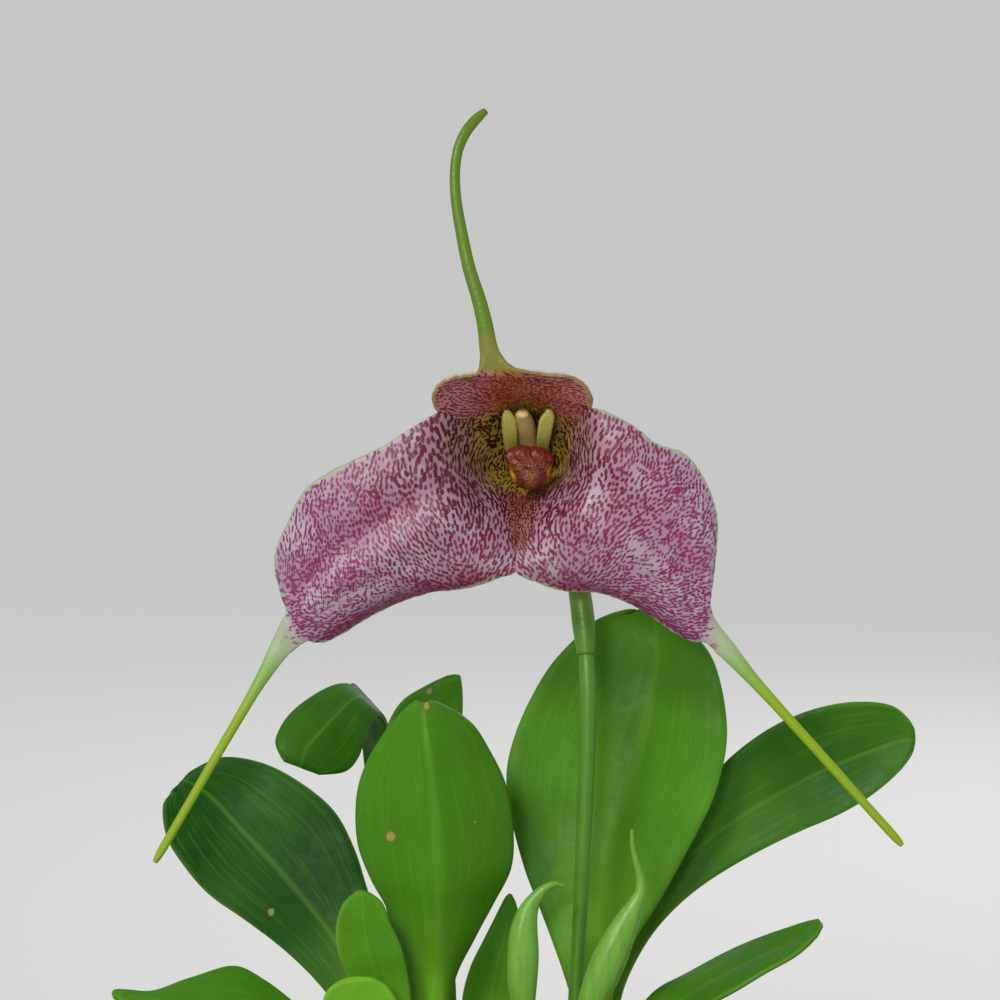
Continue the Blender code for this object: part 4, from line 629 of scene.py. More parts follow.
def calyxMaterial(look):
    made, nodes, shader = newMaterial("sepalSkin", look["ground"])
    point = objectPoint(nodes)
    front, tail, margin, low, hood = (nodes.attribute(n) for n in ("front", "tail", "margin", "low", "hood"))
    yellow, brown, chin, near = (nodes.attribute(n) for n in ("yellow", "brown", "chin", "near"))
    outer, spot, tone, lobe, fold = (nodes.attribute(n) for n in ("outer", "spot", "tone", "lobe", "fold"))
    ragged = nodes.math("MULTIPLY", nodes.math("SUBTRACT", nodes.noise(point, 7000.0, 2.0), 0.5), 0.07)
    spots = nodes.span(nodes.math("ADD", spot, ragged), -0.03, 0.022)
    cloud = nodes.noise(point, 330.0, 3.0)
    blush = nodes.noise(point, 170.0, 2.0)

    ground = nodes.mix(nodes.span(cloud, 0.42, 0.66), look["ground"], look["groundWhite"])
    ground = nodes.mix(nodes.math("MULTIPLY", nodes.span(blush, 0.35, 0.62, 0.34, 0.05),
                                  nodes.span(outer, 0.0, 1.0, 1.0, 0.6)), ground, look["groundPink"])
    # Pinker near the throat; along the fold mark the pinker ground is painted shade in the groove beside each
    # lower sepal's ridge
    pinker = nodes.math("MULTIPLY", nodes.math("MAXIMUM", near, fold), 0.5)
    ground = nodes.mix(pinker, ground, look["groundPink"])
    ground = nodes.mix(nodes.math("MULTIPLY", low, 0.75), ground, look["lowEdge"])
    hoodTone = nodes.mix(lobe, look["hood"], look["hoodPink"])
    ground = nodes.mix(hood, ground, hoodTone)
    browner = nodes.math("MULTIPLY", brown, nodes.span(cloud, 0.35, 0.65, 1.0, 0.7))
    ground = nodes.mix(browner, ground, look["brown"])
    ground = nodes.mix(nodes.math("MULTIPLY", chin, 0.9), ground, look["chin"])
    ground = nodes.mix(yellow, ground, look["yellow"])
    rimTone = nodes.mix(hood, look["margin"], look["hoodRim"])
    ground = nodes.mix(nodes.math("MULTIPLY", margin, 0.85), ground, rimTone)
    baseTone = nodes.mix(hood, look["nearTail"], look["dorsalBase"])
    ground = nodes.mix(nodes.span(tail, 0.02, 0.45), ground, baseTone)
    tailTone = nodes.mix(hood, nodes.mix(nodes.span(tail, 0.8, 1.0), look["lateralTail"], look["tailTip"]),
                         look["dorsalTail"])
    ground = nodes.mix(nodes.span(tail, 0.4, 0.8), ground, tailTone)

    ink = nodes.mix(nodes.span(nodes.math("ADD", outer, nodes.math("MULTIPLY", tone, 0.5)), 0.3, 1.2),
                    look["dash"], look["dashPurple"])
    ink = nodes.mix(near, ink, look["dashNear"])
    ink = nodes.mix(nodes.math("MULTIPLY", hood, 0.9), ink, look["hoodDash"])
    deep = nodes.math("MAXIMUM", nodes.math("MULTIPLY", brown, 0.75), nodes.math("MAXIMUM", yellow, chin))
    ink = nodes.mix(nodes.math("MULTIPLY", deep, 0.9), ink, look["dashDeep"])
    strength = nodes.span(tone, 0.0, 0.6, 0.82, 0.98)
    strength = nodes.math("MULTIPLY", strength, nodes.span(tail, 0.05, 0.55, 1.0, 0.0))
    colour = nodes.mix(nodes.math("MULTIPLY", spots, strength), ground, ink)
    # Behind, the dashes show through faintly, and three veins run to the tails
    backTone = nodes.mix(nodes.span(cloud, 0.4, 0.7, 0.0, 0.4), look["back"], look["groundPink"])
    backTone = nodes.mix(nodes.math("MULTIPLY", nodes.span(spot, -0.08, 0.05), 0.34), backTone, look["dash"])
    veinWave = nodes.math("SINE", nodes.math("MULTIPLY", nodes.attribute("across"), 2 * fullTurn))
    vein = nodes.span(nodes.math("ABSOLUTE", veinWave), 0.0, 0.16, 0.55, 0.0)
    backTone = nodes.mix(vein, backTone, look["vein"])
    backTone = nodes.mix(nodes.span(tail, 0.2, 0.8), backTone, tailTone)
    colour = nodes.mix(front, backTone, colour)
    # Small clear blisters all over, which glisten
    blister = nodes.voronoi(point, 5600.0, feature="SMOOTH_F1")
    nodes.set(shader.inputs["Base Color"], colour)
    setGloss(nodes, shader, point, 9000.0, 0.3, 0.55)
    nodes.set(shader.inputs["Specular IOR Level"], 0.4)
    nodes.set(shader.inputs["Subsurface Weight"], 0.05)
    nodes.set(shader.inputs["Subsurface Radius"], (1.0, 0.5, 0.4))
    nodes.set(shader.inputs["Subsurface Scale"], 0.0004)
    height = nodes.math("ADD", nodes.math("MULTIPLY", blister, -0.5), nodes.math("MULTIPLY", spots, 0.3))
    nodes.set(shader.inputs["Normal"], nodes.bump(height, 0.4, 0.00012))
    return made


def calyxPoint(rows, s, t):
    row = blend(rows, s)
    point = across(row, t)
    ridge, roll = max(row[9], 0.0), max(row[10], 0.0)
    point.y += ridge * (math.exp(-((t - 0.40) / 0.11) ** 2) - 0.9 * math.exp(-((t - 0.60) / 0.10) ** 2))
    point.y += roll * max(0.0, (t - 0.76) / 0.24) ** 2
    point.y += 0.3 * roll * max(0.0, (0.15 - t) / 0.15) ** 2
    return point


def patchAt(point, centre, radii, soft=0.5):
    # 1 inside a soft oval on the flower's front, 0 outside
    d = math.hypot((point.x - centre[0]) / radii[0], (point.z - centre[1]) / radii[1])
    return 1.0 - ramp(d, 1.0 - soft, 1.0 + soft)


def hoodMarks(look, point, s):
    # The hood's lower part, round the column, is yellow up to a peak
    peak, middle = look["hoodPeak"], look["hoodMiddle"]
    below = ramp(peak[1] + 1.4 * math.exp(-((point.x - peak[0]) / 1.7) ** 2) - point.z, -0.35, 0.75)
    aside = abs(point.x - middle)
    side = ramp(aside, 1.8, 5.4) * (0.55 if point.x > middle else 1.0)
    upper = ramp(point.z, 118.2, 119.9) * ramp(abs(point.x - 0.9), 0.5, 2.2)
    return {"tail": max(0.5 * ramp(point.z, 119.3, 120.3) * ramp(s, 7.0, 9.0), ramp(s, 9.5, 13.0)),
            "yellow": 0.92 * max(1.0 - ramp(s, 1.4, 3.0), below * (1.0 - ramp(aside, 2.6, 4.8))),
            "brown": 0.9 * below, "chin": 0.0, "low": 0.0, "near": 0.0, "fold": 0.0,
            "lobe": min(1.0, side + 0.75 * upper), "outer": 0.25}


def bladeMarks(look, point, s, t):
    # Tones of the two lower sepals: deep in the cup, on the chin between them, and outwards
    reach = math.hypot(point.x - look["throatAt"][0], point.z - look["throatAt"][1])
    inCup = 1.0 - ramp(s, 3.6, 5.2)
    deepEnd = 2.2 - 1.3 * ramp(t, 0.6, 0.9)
    patches = [patchAt(point, *patch, 0.45) * inCup for patch in look["yellowPatches"]]
    foot = look["chinFoot"]
    width = 0.55 + 1.2 * ramp(point.z, foot[1], 108.0)
    valley = 1.0 - ramp(abs(point.x - foot[0] - 0.05 * (point.z - foot[1])), width * 0.5, width * 1.9)
    return {"tail": ramp(s, 11.4, 18.5), "yellow": 0.95 * max(1.0 - ramp(s, 0.5, deepEnd), *patches),
            "brown": 0.9 * patchAt(point, *look["brownPatch"], 0.36),
            "chin": valley * ramp(point.z, 101.2, 103.0) * (1.0 - ramp(point.z, 108.2, 110.0)),
            "low": ramp(t, 0.84, 0.98) * ramp(s, 4.2, 6.0) * (1 - ramp(s, 10.0, 13.0)),
            "near": 1.0 - ramp(reach, 5.5, 12.5), "lobe": 0.0,
            # fold is painted shade: it marks the groove beside each lower sepal's ridge, made pinker and
            # given wider dashes
            "fold": math.exp(-((t - 0.36) / 0.11) ** 2) * ramp(s, 3.5, 6.0) * (1 - ramp(s, 11.0, 13.5)),
            "outer": ramp(reach, 11.0, 20.0)}


def dashSize(look, name, marks, streak):
    # Length, width, and spacing along and across
    if name == "dorsal":
        small = marks["yellow"]
        length, width = look["hoodDashSize"][0] - 0.16 * small, look["hoodDashSize"][1] - 0.02 * small
        return length, width, length * 0.92, width * 1.22
    near, low = marks["near"], marks["low"]
    length = look["bladeDashSize"][0] + 0.28 * near - 0.10 * marks["outer"]
    width = look["bladeDashSize"][1] + 0.13 * near - 0.04 * marks["outer"]
    dots = min(1.0, marks["yellow"] + marks["chin"])
    length += (look["dotSize"][0] - length) * dots
    width += (look["dotSize"][1] - width) * dots
    # Darker along the lower edge; in the groove of the sepal's fold the wider dashes are painted shade
    width *= 1.0 + 0.2 * streak + 0.26 * marks["fold"] + 0.4 * low
    return length * (1.0 + 0.12 * streak), width, length * 0.84, width * (1.12 - 0.1 * low)


def dashPlace(look, name, point, s, t, marks, blade):
    # How a dash that starts at this point would run: direction, size, and the chance that it shows
    fan = look["fans"][name]
    d = Vector((point.x - fan[0], 0.0, point.z - fan[1])).normalized()
    sway = 0.5 * noise.noise(point * 0.32)
    d = Vector((d.x - d.z * sway, 0.0, d.z + d.x * sway)).normalized()
    streak = noise.noise(Vector((s * 0.55, t * 9.0, 3.0 if name == "left" else 7.0)))
    streak += 0.5 * noise.noise(point * 0.8)
    size = dashSize(look, name, marks, max(-1.0, min(1.0, streak * 1.3)))
    keep = 1.0
    if name != "dorsal":
        keep -= 0.4 * ramp(-streak, 0.2, 0.6) * (1 - marks["near"] * 0.8)
    keep *= 1.0 - 0.5 * marks["margin"]
    keep *= 1.0 - 0.25 * marks["yellow"]
    keep *= 1.0 - 0.8 * ramp(s, blade - 2.5, blade + 0.3)
    return d, size, keep


def isClear(point, direction, size, cells, cell):
    # True when no dash already laid is nearer than the spacing along and across
    along, sideways = size[2], size[3]
    for nx in (cell[0] - 1, cell[0], cell[0] + 1):
        for nz in (cell[1] - 1, cell[1], cell[1] + 1):
            for other in cells.get((nx, nz), ()):
                dx, dy, dz = point.x - other[0], point.y - other[1], point.z - other[2]
                a = dx * direction.x + dy * direction.y + dz * direction.z
                c = dx * dx + dy * dy + dz * dz - a * a
                if (a / along) ** 2 + c / (sideways * sideways) < 1.0:
                    return False
    return True


def strewDashes(look, places, cells, seed):
    # Dashes laid in a random order, each along its own direction, without crowding one another
    draw = random.Random(seed)
    order = list(range(len(places)))
    draw.shuffle(order)
    lean = look["dashLean"]
    dashes = []
    for i in order:
        point, direction, size, keep = places[i]
        cell = (int(math.floor(point.x)), int(math.floor(point.z)))
        if not isClear(point, direction, size, cells, cell):
            continue
        cells.setdefault(cell, []).append((point.x, point.y, point.z))
        if draw.random() > keep:
            continue
        turned = direction + Vector([draw.uniform(-lean, lean) for _ in range(3)])
        dashes.append((point, turned.normalized(), size[0] * draw.uniform(0.7, 1.3),
                       size[1] * draw.uniform(0.74, 1.08), draw.random()))
    return dashes


def dashField(points, dashes, reach):
    # For every point, how far inside (or outside) the nearest dash it lies, in millimetres
    tree = KDTree(len(points))
    for i, p in enumerate(points):
        tree.insert(p, i)
    tree.balance()
    depth, tone = [-0.15] * len(points), [0.5] * len(points)
    for centre, direction, length, width, shade in dashes:
        bend = (shade - 0.5) * 0.5
        for place, i, _ in tree.find_range(centre, length * 0.5 + reach):
            gap = place - centre
            a = gap.dot(direction)
            c = math.sqrt(max(0.0, gap.length_squared - a * a))
            u, v = abs(a) / (length * 0.5), abs(c - bend * a * a) / (width * 0.5)
            inside = (1.0 - (u ** 2.5 + v ** 2.5) ** 0.4) * width * 0.5
            if inside > depth[i]:
                depth[i], tone[i] = inside, shade
    return depth, tone


def sepalStations(look, name, rowCount):
    # Where the sepal's rows lie, counted in stations from the cup's base to the tail's tip
    blade, shared, steps = look["bladeEnd"][name], look["sharedStations"], look["rowsPerStation"]
    tailSteps = look["rowsPerTailStation"]
    stations = [k / steps for k in range(blade * steps + 1)]
    stations += [blade + (k + 1) / tailSteps for k in range((rowCount - 1 - blade) * tailSteps)]
    if name == "dorsal":
        # The hood needs fewer rows above the ones it shares
        stations = [s for k, s in enumerate(stations) if s <= shared or k % 2 == 0]
    return stations


def sharedPoint(look, grids, name, k, j, s):
    # The point that a sepal grown earlier already has here, where the three make one cup
    if s > look["sharedStations"]:
        return None
    if name == "right" and j == look["columns"]:
        return grids["left"][k][j]
    if name == "dorsal" and j == 0:
        return grids["left"][k][0]
    if name == "dorsal" and j == look["columns"]:
        return grids["right"][k][0]
    return None


def growPoint(look, name, rows, s, t, width):
    # One point of a sepal, with half its thickness there, its marks and the dash it may bear
    blade, shared = look["bladeEnd"][name], look["sharedStations"]
    isHood = name == "dorsal"
    point = calyxPoint(rows, s, t)
    free = ramp(s, shared, shared + 0.7)
    gap = min(t, 1 - t) * width
    edge = free * (1 - ramp(gap, 0.0, 0.6)) * (1 - ramp(s, blade - 1.0, blade))
    crimp = Vector((noise.noise(point * 1.7), 1.5 * noise.noise(point * 2.1 + Vector((9, 0, 0))),
                    noise.noise(point * 1.9 - Vector((5, 5, 5)))))
    point += crimp * (look["crimp"] * 2.0 * edge)
    rounding = math.sqrt(max(0.03, 1 - (1 - min(1.0, gap / look["edgeRadius"])) ** 2))
    tailward = ramp(s, blade - 2.0, blade + 1.5)
    oval = math.sqrt(max(0.05, 1 - (2 * t - 1) ** 2))
    thick = look["halfThickness"] * (1 - free + free * rounding)
    half = thick * (1 - tailward) + look["tailHalf"] * oval * tailward
    marks = hoodMarks(look, point, s) if isHood else bladeMarks(look, point, s, t)
    band = look["marginWidth"][name]
    wander = 0.25 * noise.noise(point * 0.8)
    margin = free * (1 - ramp(gap, band * (0.35 + wander), band * (1.1 + wander)))
    margin *= 1 - ramp(s, blade - 0.5, blade + 1.0)
    marks.update({"hood": float(isHood), "across": t, "margin": margin})
    dash = None
    if s < blade + 0.6 and gap > 0.32 * free:
        dash = dashPlace(look, name, point, s, t, marks, blade)
    return point, half, marks, dash


def growSepal(look, name, points, half, marks, grids):
    # Adds a sepal's points to the calyx; returns its grid of point numbers and its places for dashes
    rows = flatRows(calyxRows[name])
    columns = look["columns"]
    spread = [0.7 * j / columns + 0.15 * (1 - math.cos(math.pi * j / columns)) for j in range(columns + 1)]
    grid, places = [], []
    for k, s in enumerate(sepalStations(look, name, len(rows))):
        line = []
        width = rowWidth(blend(rows, s))
        for j, t in enumerate(spread):
            known = sharedPoint(look, grids, name, k, j, s)
            if known is None:
                known = len(points)
                point, thick, here, dash = growPoint(look, name, rows, s, t, width)
                points.append(point)
                half.append(thick)
                marks.append(here)
                if dash:
                    places.append((known, *dash))
            line.append(known)
        grid.append(line)
    return grid, places


def sepalQuads(grid, turned):
    # The grid's faces, which all look out of the flower's front
    quads = []
    for line, following in zip(grid, grid[1:]):
        for j in range(len(line) - 1):
            quad = (line[j], following[j], following[j + 1], line[j + 1])
            quads.append(quad[::-1] if turned else quad)
    return quads


def layDashes(look, points, normals, places):
    # All the dashes of the three sepals, turned into the surface
    cells, dashes = {}, []
    for order, name in enumerate(places):
        ready = []
        for i, d, size, keep in places[name]:
            n = normals[i]
            flat = d - n * d.dot(n)
            if flat.length <= 0.05:
                flat = Vector((0, 0, 1)).cross(n).cross(n)
            ready.append((points[i], flat.normalized(), size, keep))
        dashes += strewDashes(look, ready, cells, look["seed"] + order)
    return dashes


def sepalPiece(label, quads, points, normals, half, marks, seam, material):
    # One sepal as a closed piece, which meets the others along the seam without a crease
    used = sorted({i for q in quads for i in q})
    index = {i: k for k, i in enumerate(used)}
    count = len(used)
    verts, faces = sheetFaces([points[i] for i in used], [normals[i] for i in used],
                              [tuple(index[i] for i in q) for q in quads], [half[i] for i in used])
    attributes = {key: [marks[i][key] for i in used] * 2 for key in marks[0]}
    attributes["front"] = [1.0] * count + [0.0] * count
    piece = newPiece(label, verts, faces, material, attributes)
    shading = [tuple(v.vector) for v in piece.data.vertex_normals]
    for i in seam:
        if i in index:
            shading[index[i]], shading[count + index[i]] = tuple(normals[i]), tuple(-normals[i])
    piece.data.normals_split_custom_set_from_vertices(shading)
    print(label, "faces", len(piece.data.polygons))
    return place(piece, [], "sepal")


def buildCalyx(look):
    points, half, marks, grids, quads, places = [], [], [], {}, {}, {}
    for name in ("left", "right", "dorsal"):
        grids[name], places[name] = growSepal(look, name, points, half, marks, grids)
        quads[name] = sepalQuads(grids[name], name != "left")
    # The cup's base is closed by a fan of faces round one point
    ring = grids["left"][0] + grids["right"][0][-2::-1] + grids["dorsal"][0][-2:0:-1]
    hub = len(points)
    points.append(sum((points[i] for i in ring), Vector()) / len(ring))
    half.append(look["halfThickness"])
    marks.append(dict(marks[0], yellow=1.0, margin=0.0))
    quads["left"] += [(hub, a, ring[(i + 1) % len(ring)]) for i, a in enumerate(ring)]
    normals = surfaceNormals(points, quads["left"] + quads["right"] + quads["dorsal"])
    held = {name: {i for q in made for i in q} for name, made in quads.items()}
    seam = held["left"] & held["right"] | held["left"] & held["dorsal"] | held["right"] & held["dorsal"]
    dashes = layDashes(look, points, normals, places)
    print("dashes laid:", len(dashes))
    for here, depth, tone in zip(marks, *dashField(points, dashes, look["fadeReach"])):
        here.update({"spot": depth, "tone": tone})
    material = calyxMaterial(look)
    pieces = [sepalPiece(label, quads[name], points, normals, half, marks, seam, material)
              for name, label in (("left", "sepalLeft"), ("right", "sepalRight"), ("dorsal", "sepalHood"))]
    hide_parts("sepals")


buildCalyx(calyxLook)
print("calyx done")


# Leaves

leafLook = {
    "rowSteps": 8, "columns": 32, "edge": 0.5, "middle": 1.0, "stalk": 0.5,
    "dark": srgb(22, 70, 6), "mid": srgb(66, 124, 14), "light": srgb(112, 176, 36),
    "foot": srgb(136, 196, 52), "rib": srgb(92, 148, 38), "edgeTone": srgb(110, 150, 60),
    "scar": srgb(152, 146, 84), "scarRim": srgb(84, 98, 40),
    # How bright each leaf is, and how far its middle is folded towards the front
    "tints": {"leaf_1": 0.5, "leaf_2": 0.6, "leaf_3": 0.06, "leaf_4": 0.3, "leaf_5": 0.36, "leaf_6": 0.5,
              "leaf_7": 0.26, "leaf_8": 0.6, "leaf_9": 0.66, "leaf_10": 0.6, "leaf_11": 0.9},
    "folds": {"leaf_1": 1.9, "leaf_2": 1.7, "leaf_3": -0.7, "leaf_4": -0.5, "leaf_5": -0.8, "leaf_6": 0.4,
              "leaf_7": 0.3, "leaf_8": 0.6, "leaf_9": 0.5, "leaf_10": 0.4, "leaf_11": 0.4},
    # Small scars: place across and up the front, size
    "scars": [(-8.27, 88.2, 0.34), (-7.03, 87.4, 0.40), (-10.55, 74.6, 0.62),
              (-22.5, 65.9, 0.4), (-8.9, 87.0, 0.16), (-2.4, 76.0, 0.14)],
}


def leafMaterial(look):
    made, nodes, shader = newMaterial("leafSkin", look["mid"])
    point = objectPoint(nodes)
    side, along, tint, foot = (nodes.attribute(n) for n in ("side", "along", "tint", "foot"))
    mottled = nodes.noise(point, 110.0, 4.0, 0.55)
    tone = nodes.math("ADD", tint, nodes.math("MULTIPLY", nodes.math("SUBTRACT", mottled, 0.5), 0.42))
    colour = nodes.mix(nodes.span(tone, 0.0, 0.55), look["dark"], look["mid"])
    colour = nodes.mix(nodes.span(tone, 0.5, 1.1), colour, look["light"])
    fibre = nodes.add("ShaderNodeCombineXYZ", {"X": nodes.math("MULTIPLY", side, 22.0),
                                               "Y": nodes.math("MULTIPLY", along, 0.5), "Z": tint}).outputs[0]
    streak = nodes.noise(fibre, 1.0, 3.0, 0.5)
    colour = nodes.mix(nodes.span(streak, 0.45, 0.8, 0.0, 0.16), colour, look["light"])
    cells = nodes.voronoi(point, 3600.0, feature="DISTANCE_TO_EDGE")
    colour = nodes.mix(nodes.span(cells, 0.02, 0.2, 0.14, 0.0), colour, look["dark"])
    colour = nodes.mix(nodes.math("MULTIPLY", foot, 0.85), colour, look["foot"])
    off = nodes.math("ABSOLUTE", side)
    ribMask = nodes.span(off, 0.01, 0.07, 1.0, 0.0)
    ribTone = nodes.math("MULTIPLY", ribMask, nodes.span(foot, 0.0, 1.0, 0.3, 0.6))
    colour = nodes.mix(ribTone, colour, look["rib"])
    colour = nodes.mix(nodes.span(off, 0.95, 1.0, 0.0, 0.3), colour, look["edgeTone"])
    parts = nodes.add("ShaderNodeSeparateXYZ", {"Vector": point}).outputs
    front = nodes.add("ShaderNodeCombineXYZ", {"X": parts["X"], "Y": parts["Z"]}).outputs[0]
    wobble = nodes.math("MULTIPLY", nodes.math("SUBTRACT", nodes.noise(point, 2200.0, 2.0), 0.5), 0.0005)
    for x, z, size in look["scars"]:
        gap = nodes.math("ADD", nodes.vector("DISTANCE", front, (x * mm, z * mm, 0.0)), wobble)
        rim = nodes.span(gap, size * 0.9 * mm, size * 1.3 * mm, 0.5, 0.0)
        heart = nodes.span(gap, size * 0.5 * mm, size * 0.9 * mm, 0.85, 0.0)
        colour = nodes.mix(heart, nodes.mix(rim, colour, look["scarRim"]), look["scar"])
    nodes.set(shader.inputs["Base Color"], colour)
    setGloss(nodes, shader, point, 900.0, 0.38, 0.52)
    nodes.set(shader.inputs["Specular IOR Level"], 0.14)
    nodes.set(shader.inputs["Subsurface Weight"], 0.06)
    nodes.set(shader.inputs["Subsurface Radius"], (0.4, 1.0, 0.2))
    nodes.set(shader.inputs["Subsurface Scale"], 0.0005)
    height = nodes.math("ADD", nodes.math("MULTIPLY", streak, 0.8), nodes.math("MULTIPLY", cells, 0.35))
    nodes.set(shader.inputs["Normal"], nodes.bump(height, 0.35, 0.0001))
    return made


def buildLeaf(name, look, material, order):
    rows = flatRows(leafRows[name])
    last = len(rows) - 1
    columns, steps = look["columns"], look["rowSteps"]
    spread = [0.6 * j / columns + 0.2 * (1 - math.cos(math.pi * j / columns)) for j in range(columns + 1)]
    points, half, side, along, foot = [], [], [], [], []
    total = steps * last
    for k in range(total + 1):
        s = k / steps
        row = blend(rows, s)
        stalk = max(0.0, (s / last - 0.7) / 0.3) * look["stalk"]
        width = rowWidth(row)
        ahead, behind = blend(rows, min(s + 0.1, last)), blend(rows, max(s - 0.1, 0))
        run = Vector(ahead[3:6]) - Vector(behind[3:6])
        normal = run.cross(Vector(row[6:9]) - Vector(row[0:3])).normalized()
        if normal.y > 0:
            normal = -normal
        fold = look["folds"][name] * min(1.0, width / 12.0) * ramp(s / last, 0.0, 0.12)
        for t in spread:
            p = across(row, t)
            off = 2 * t - 1
            wave = 0.12 * math.sin(s * 1.7 + order) * off * abs(off) + 0.06 * math.sin(s * 3.3 + order * 2)
            p += normal * (wave * min(1.0, width / 8.0))
            # Folded along the middle, with a narrow rounded crest
            p += normal * (fold * (0.62 - math.sqrt(off * off + 0.0012)))
            points.append(p)
            gap = min(t, 1 - t) * width
            rounding = math.sqrt(max(0.04, 1 - (1 - min(1.0, gap / 0.3)) ** 2))
            tip = math.sqrt(max(0.2, min(1.0, s / 0.35)))
            swell = (look["middle"] - look["edge"] + stalk) * (1 - off * off)
            half.append(0.5 * tip * (look["edge"] * rounding + swell))
            side.append(off)
            along.append(s)
            foot.append(ramp(s / last, 0.5, 0.95) * (0.55 + 0.45 * math.exp(-(off / 0.35) ** 2)))
    quads = gridQuads(total, columns)
    verts, faces = sheetFaces(points, surfaceNormals(points, quads), quads, half)
    tint = [look["tints"][name]] * len(verts)
    piece = newPiece(name.replace("_", "") + "Blade", verts, faces, material,
                     {"side": side * 2, "along": along * 2, "foot": foot * 2, "tint": tint})
    return place(piece, [name], "leaf")


leafSkin = leafMaterial(leafLook)
for order, name in enumerate(leafRows):
    buildLeaf(name, leafLook, leafSkin, order)
print("leaves:", len(leafRows))


# Stem, bract, ovary and buds

stalkLook = {
    "sides": 28, "steps": 6,
    "stem": srgb(74, 128, 6), "stemDark": srgb(52, 96, 6), "bract": srgb(80, 124, 12),
    "bractTip": srgb(112, 136, 44), "ovary": srgb(96, 126, 36), "ovaryRed": srgb(110, 54, 44),
    "bud": srgb(110, 166, 52), "budDark": srgb(76, 118, 30), "budTip": srgb(92, 146, 24),
    "ovaryReach": 0.3, "ovaryFlare": 1.06, "cupWall": 2.05,
    "bractFoot": 0.86, "budTipShare": 0.62,
}


def stalkMaterial(name, main, dark, other, otherFrom, otherTo):
    # Skin of a green stalk: fine lengthwise streaks, specks, and a second tone along it
    made, nodes, shader = newMaterial(name, main)
    point = objectPoint(nodes)
    along = nodes.attribute("along")
    stretched = nodes.vector("MULTIPLY", point, (1.0, 1.0, 0.12))
    streak = nodes.noise(stretched, 1500.0, 3.0, 0.6)
    colour = nodes.mix(nodes.span(streak, 0.4, 0.72, 0.0, 0.4), main, dark)
    colour = nodes.mix(nodes.span(along, otherFrom, otherTo, 0.0, 0.85), colour, other)
    speck = nodes.voronoi(point, 1500.0)
    colour = nodes.mix(nodes.span(speck, 0.12, 0.24, 0.35, 0.0), colour, dark)
    nodes.set(shader.inputs["Base Color"], colour)
    setGloss(nodes, shader, point, 2500.0, 0.34, 0.5)
    nodes.set(shader.inputs["Subsurface Weight"], 0.12)
    nodes.set(shader.inputs["Subsurface Radius"], (0.5, 1.0, 0.3))
    nodes.set(shader.inputs["Subsurface Scale"], 0.0005)
    nodes.set(shader.inputs["Normal"], nodes.bump(streak, 0.3, 0.0001))
    return made


stemSkin, bractSkin, ovarySkin, budSkin = [
    stalkMaterial(name, stalkLook[main], stalkLook[dark], stalkLook[other], low, high)
    for name, main, dark, other, low, high in (("stemSkin", "stem", "stemDark", "stem", 0.0, 1.0),
                                               ("bractSkin", "bract", "stemDark", "bractTip", 0.4, 1.0),
                                               ("ovarySkin", "ovary", "stemDark", "ovaryRed", 0.3, 0.9),
                                               ("budSkin", "bud", "budDark", "budTip", 0.6, 0.95))]

ringTube("peduncle", finePath(stalkRows["flower_stem"], stalkLook["steps"]), stalkLook["sides"],
         stemSkin, "stem", ["flower_stem"])
ovaryPath = finePath(stalkRows["ovary"], stalkLook["steps"])
# The ovary widens where it meets the cup and ends square inside its wall
tipDirection = (ovaryPath[-1][0] - ovaryPath[-2][0]).normalized()
tipWidth = ovaryPath[-1][1] * stalkLook["ovaryFlare"]
turn = ovaryPath[-1][0] + tipDirection * stalkLook["ovaryReach"]
ovaryPath += [(turn, tipWidth), (Vector((turn.x, stalkLook["cupWall"], turn.z)), tipWidth)]
ringTube("ovaryBody", ovaryPath, 36, ovarySkin, "ovary", ["ovary"],
         ribs=lambda u, a: 1 + 0.07 * ramp(u, 0.3, 0.7) * math.cos(6 * a))


def buildBract(look):
    # A papery sleeve with a slanted mouth
    rows = stalkRows["floral_bract"]
    path = finePath([(rows[0][0], look["bractFoot"])] + rows[1:], 8)
    sides = 36
    outer, faces, along = tubeMesh(path, sides, capped=False)
    inside = [(p, r - 0.05 - 0.2 * ramp(k / len(path), 0.0, 0.4)) for k, (p, r) in enumerate(path)]
    inner, _, _ = tubeMesh(inside, sides, capped=False)
    count, rings = len(outer), len(path)
    verts = []
    for wall in (outer, inner):
        for k in range(rings):
            up = (path[min(k + 1, rings - 1)][0] - path[max(k - 1, 0)][0]).normalized()
            for i in range(sides):
                a = 2 * math.pi * i / sides
                lift = ramp(k / (rings - 1), 0.5, 1.0) * (0.55 * math.cos(a - 2.2) - 0.2)
                verts.append(wall[k * sides + i] + up * lift)
    faces = faces + [tuple(count + i for i in reversed(f)) for f in faces]
    for i in range(sides):
        j = (i + 1) % sides
        top = (rings - 1) * sides
        faces.append((top + i, top + j, count + top + j, count + top + i))
        faces.append((j, i, count + i, count + j))
    piece = newPiece("bractSleeve", verts, faces, bractSkin, {"along": along * 2})
    return place(piece, ["floral_bract"], "bract")


buildBract(stalkLook)


def budRibs(u, a):
    # Three blunt angles along the bud's body, with a fine groove between each two
    swell = math.exp(-((u - 0.42) / 0.22) ** 2)
    groove = math.exp(-(((a * 3 / math.pi + 0.5) % 2 - 1) / 0.12) ** 2)
    return 1 + 0.05 * swell * math.cos(3 * a + 0.6) - 0.035 * swell * groove


for name in ("flower_bud_1", "flower_bud_2"):
    rows = stalkRows[name]
    last = len(rows) - 1
    # The beak of the bud narrows towards its tip
    loss = 1 - stalkLook["budTipShare"]
    slim = [(p, r * (1 - loss * ramp(k / last, 0.7, 1.0))) for k, (p, r) in enumerate(rows)]
    ringTube(name.replace("_", ""), finePath(slim, stalkLook["steps"], (False, True)), 48,
             budSkin, "bud", [name], ribs=budRibs)
print("stalks and buds done")


# Petals, lip, column

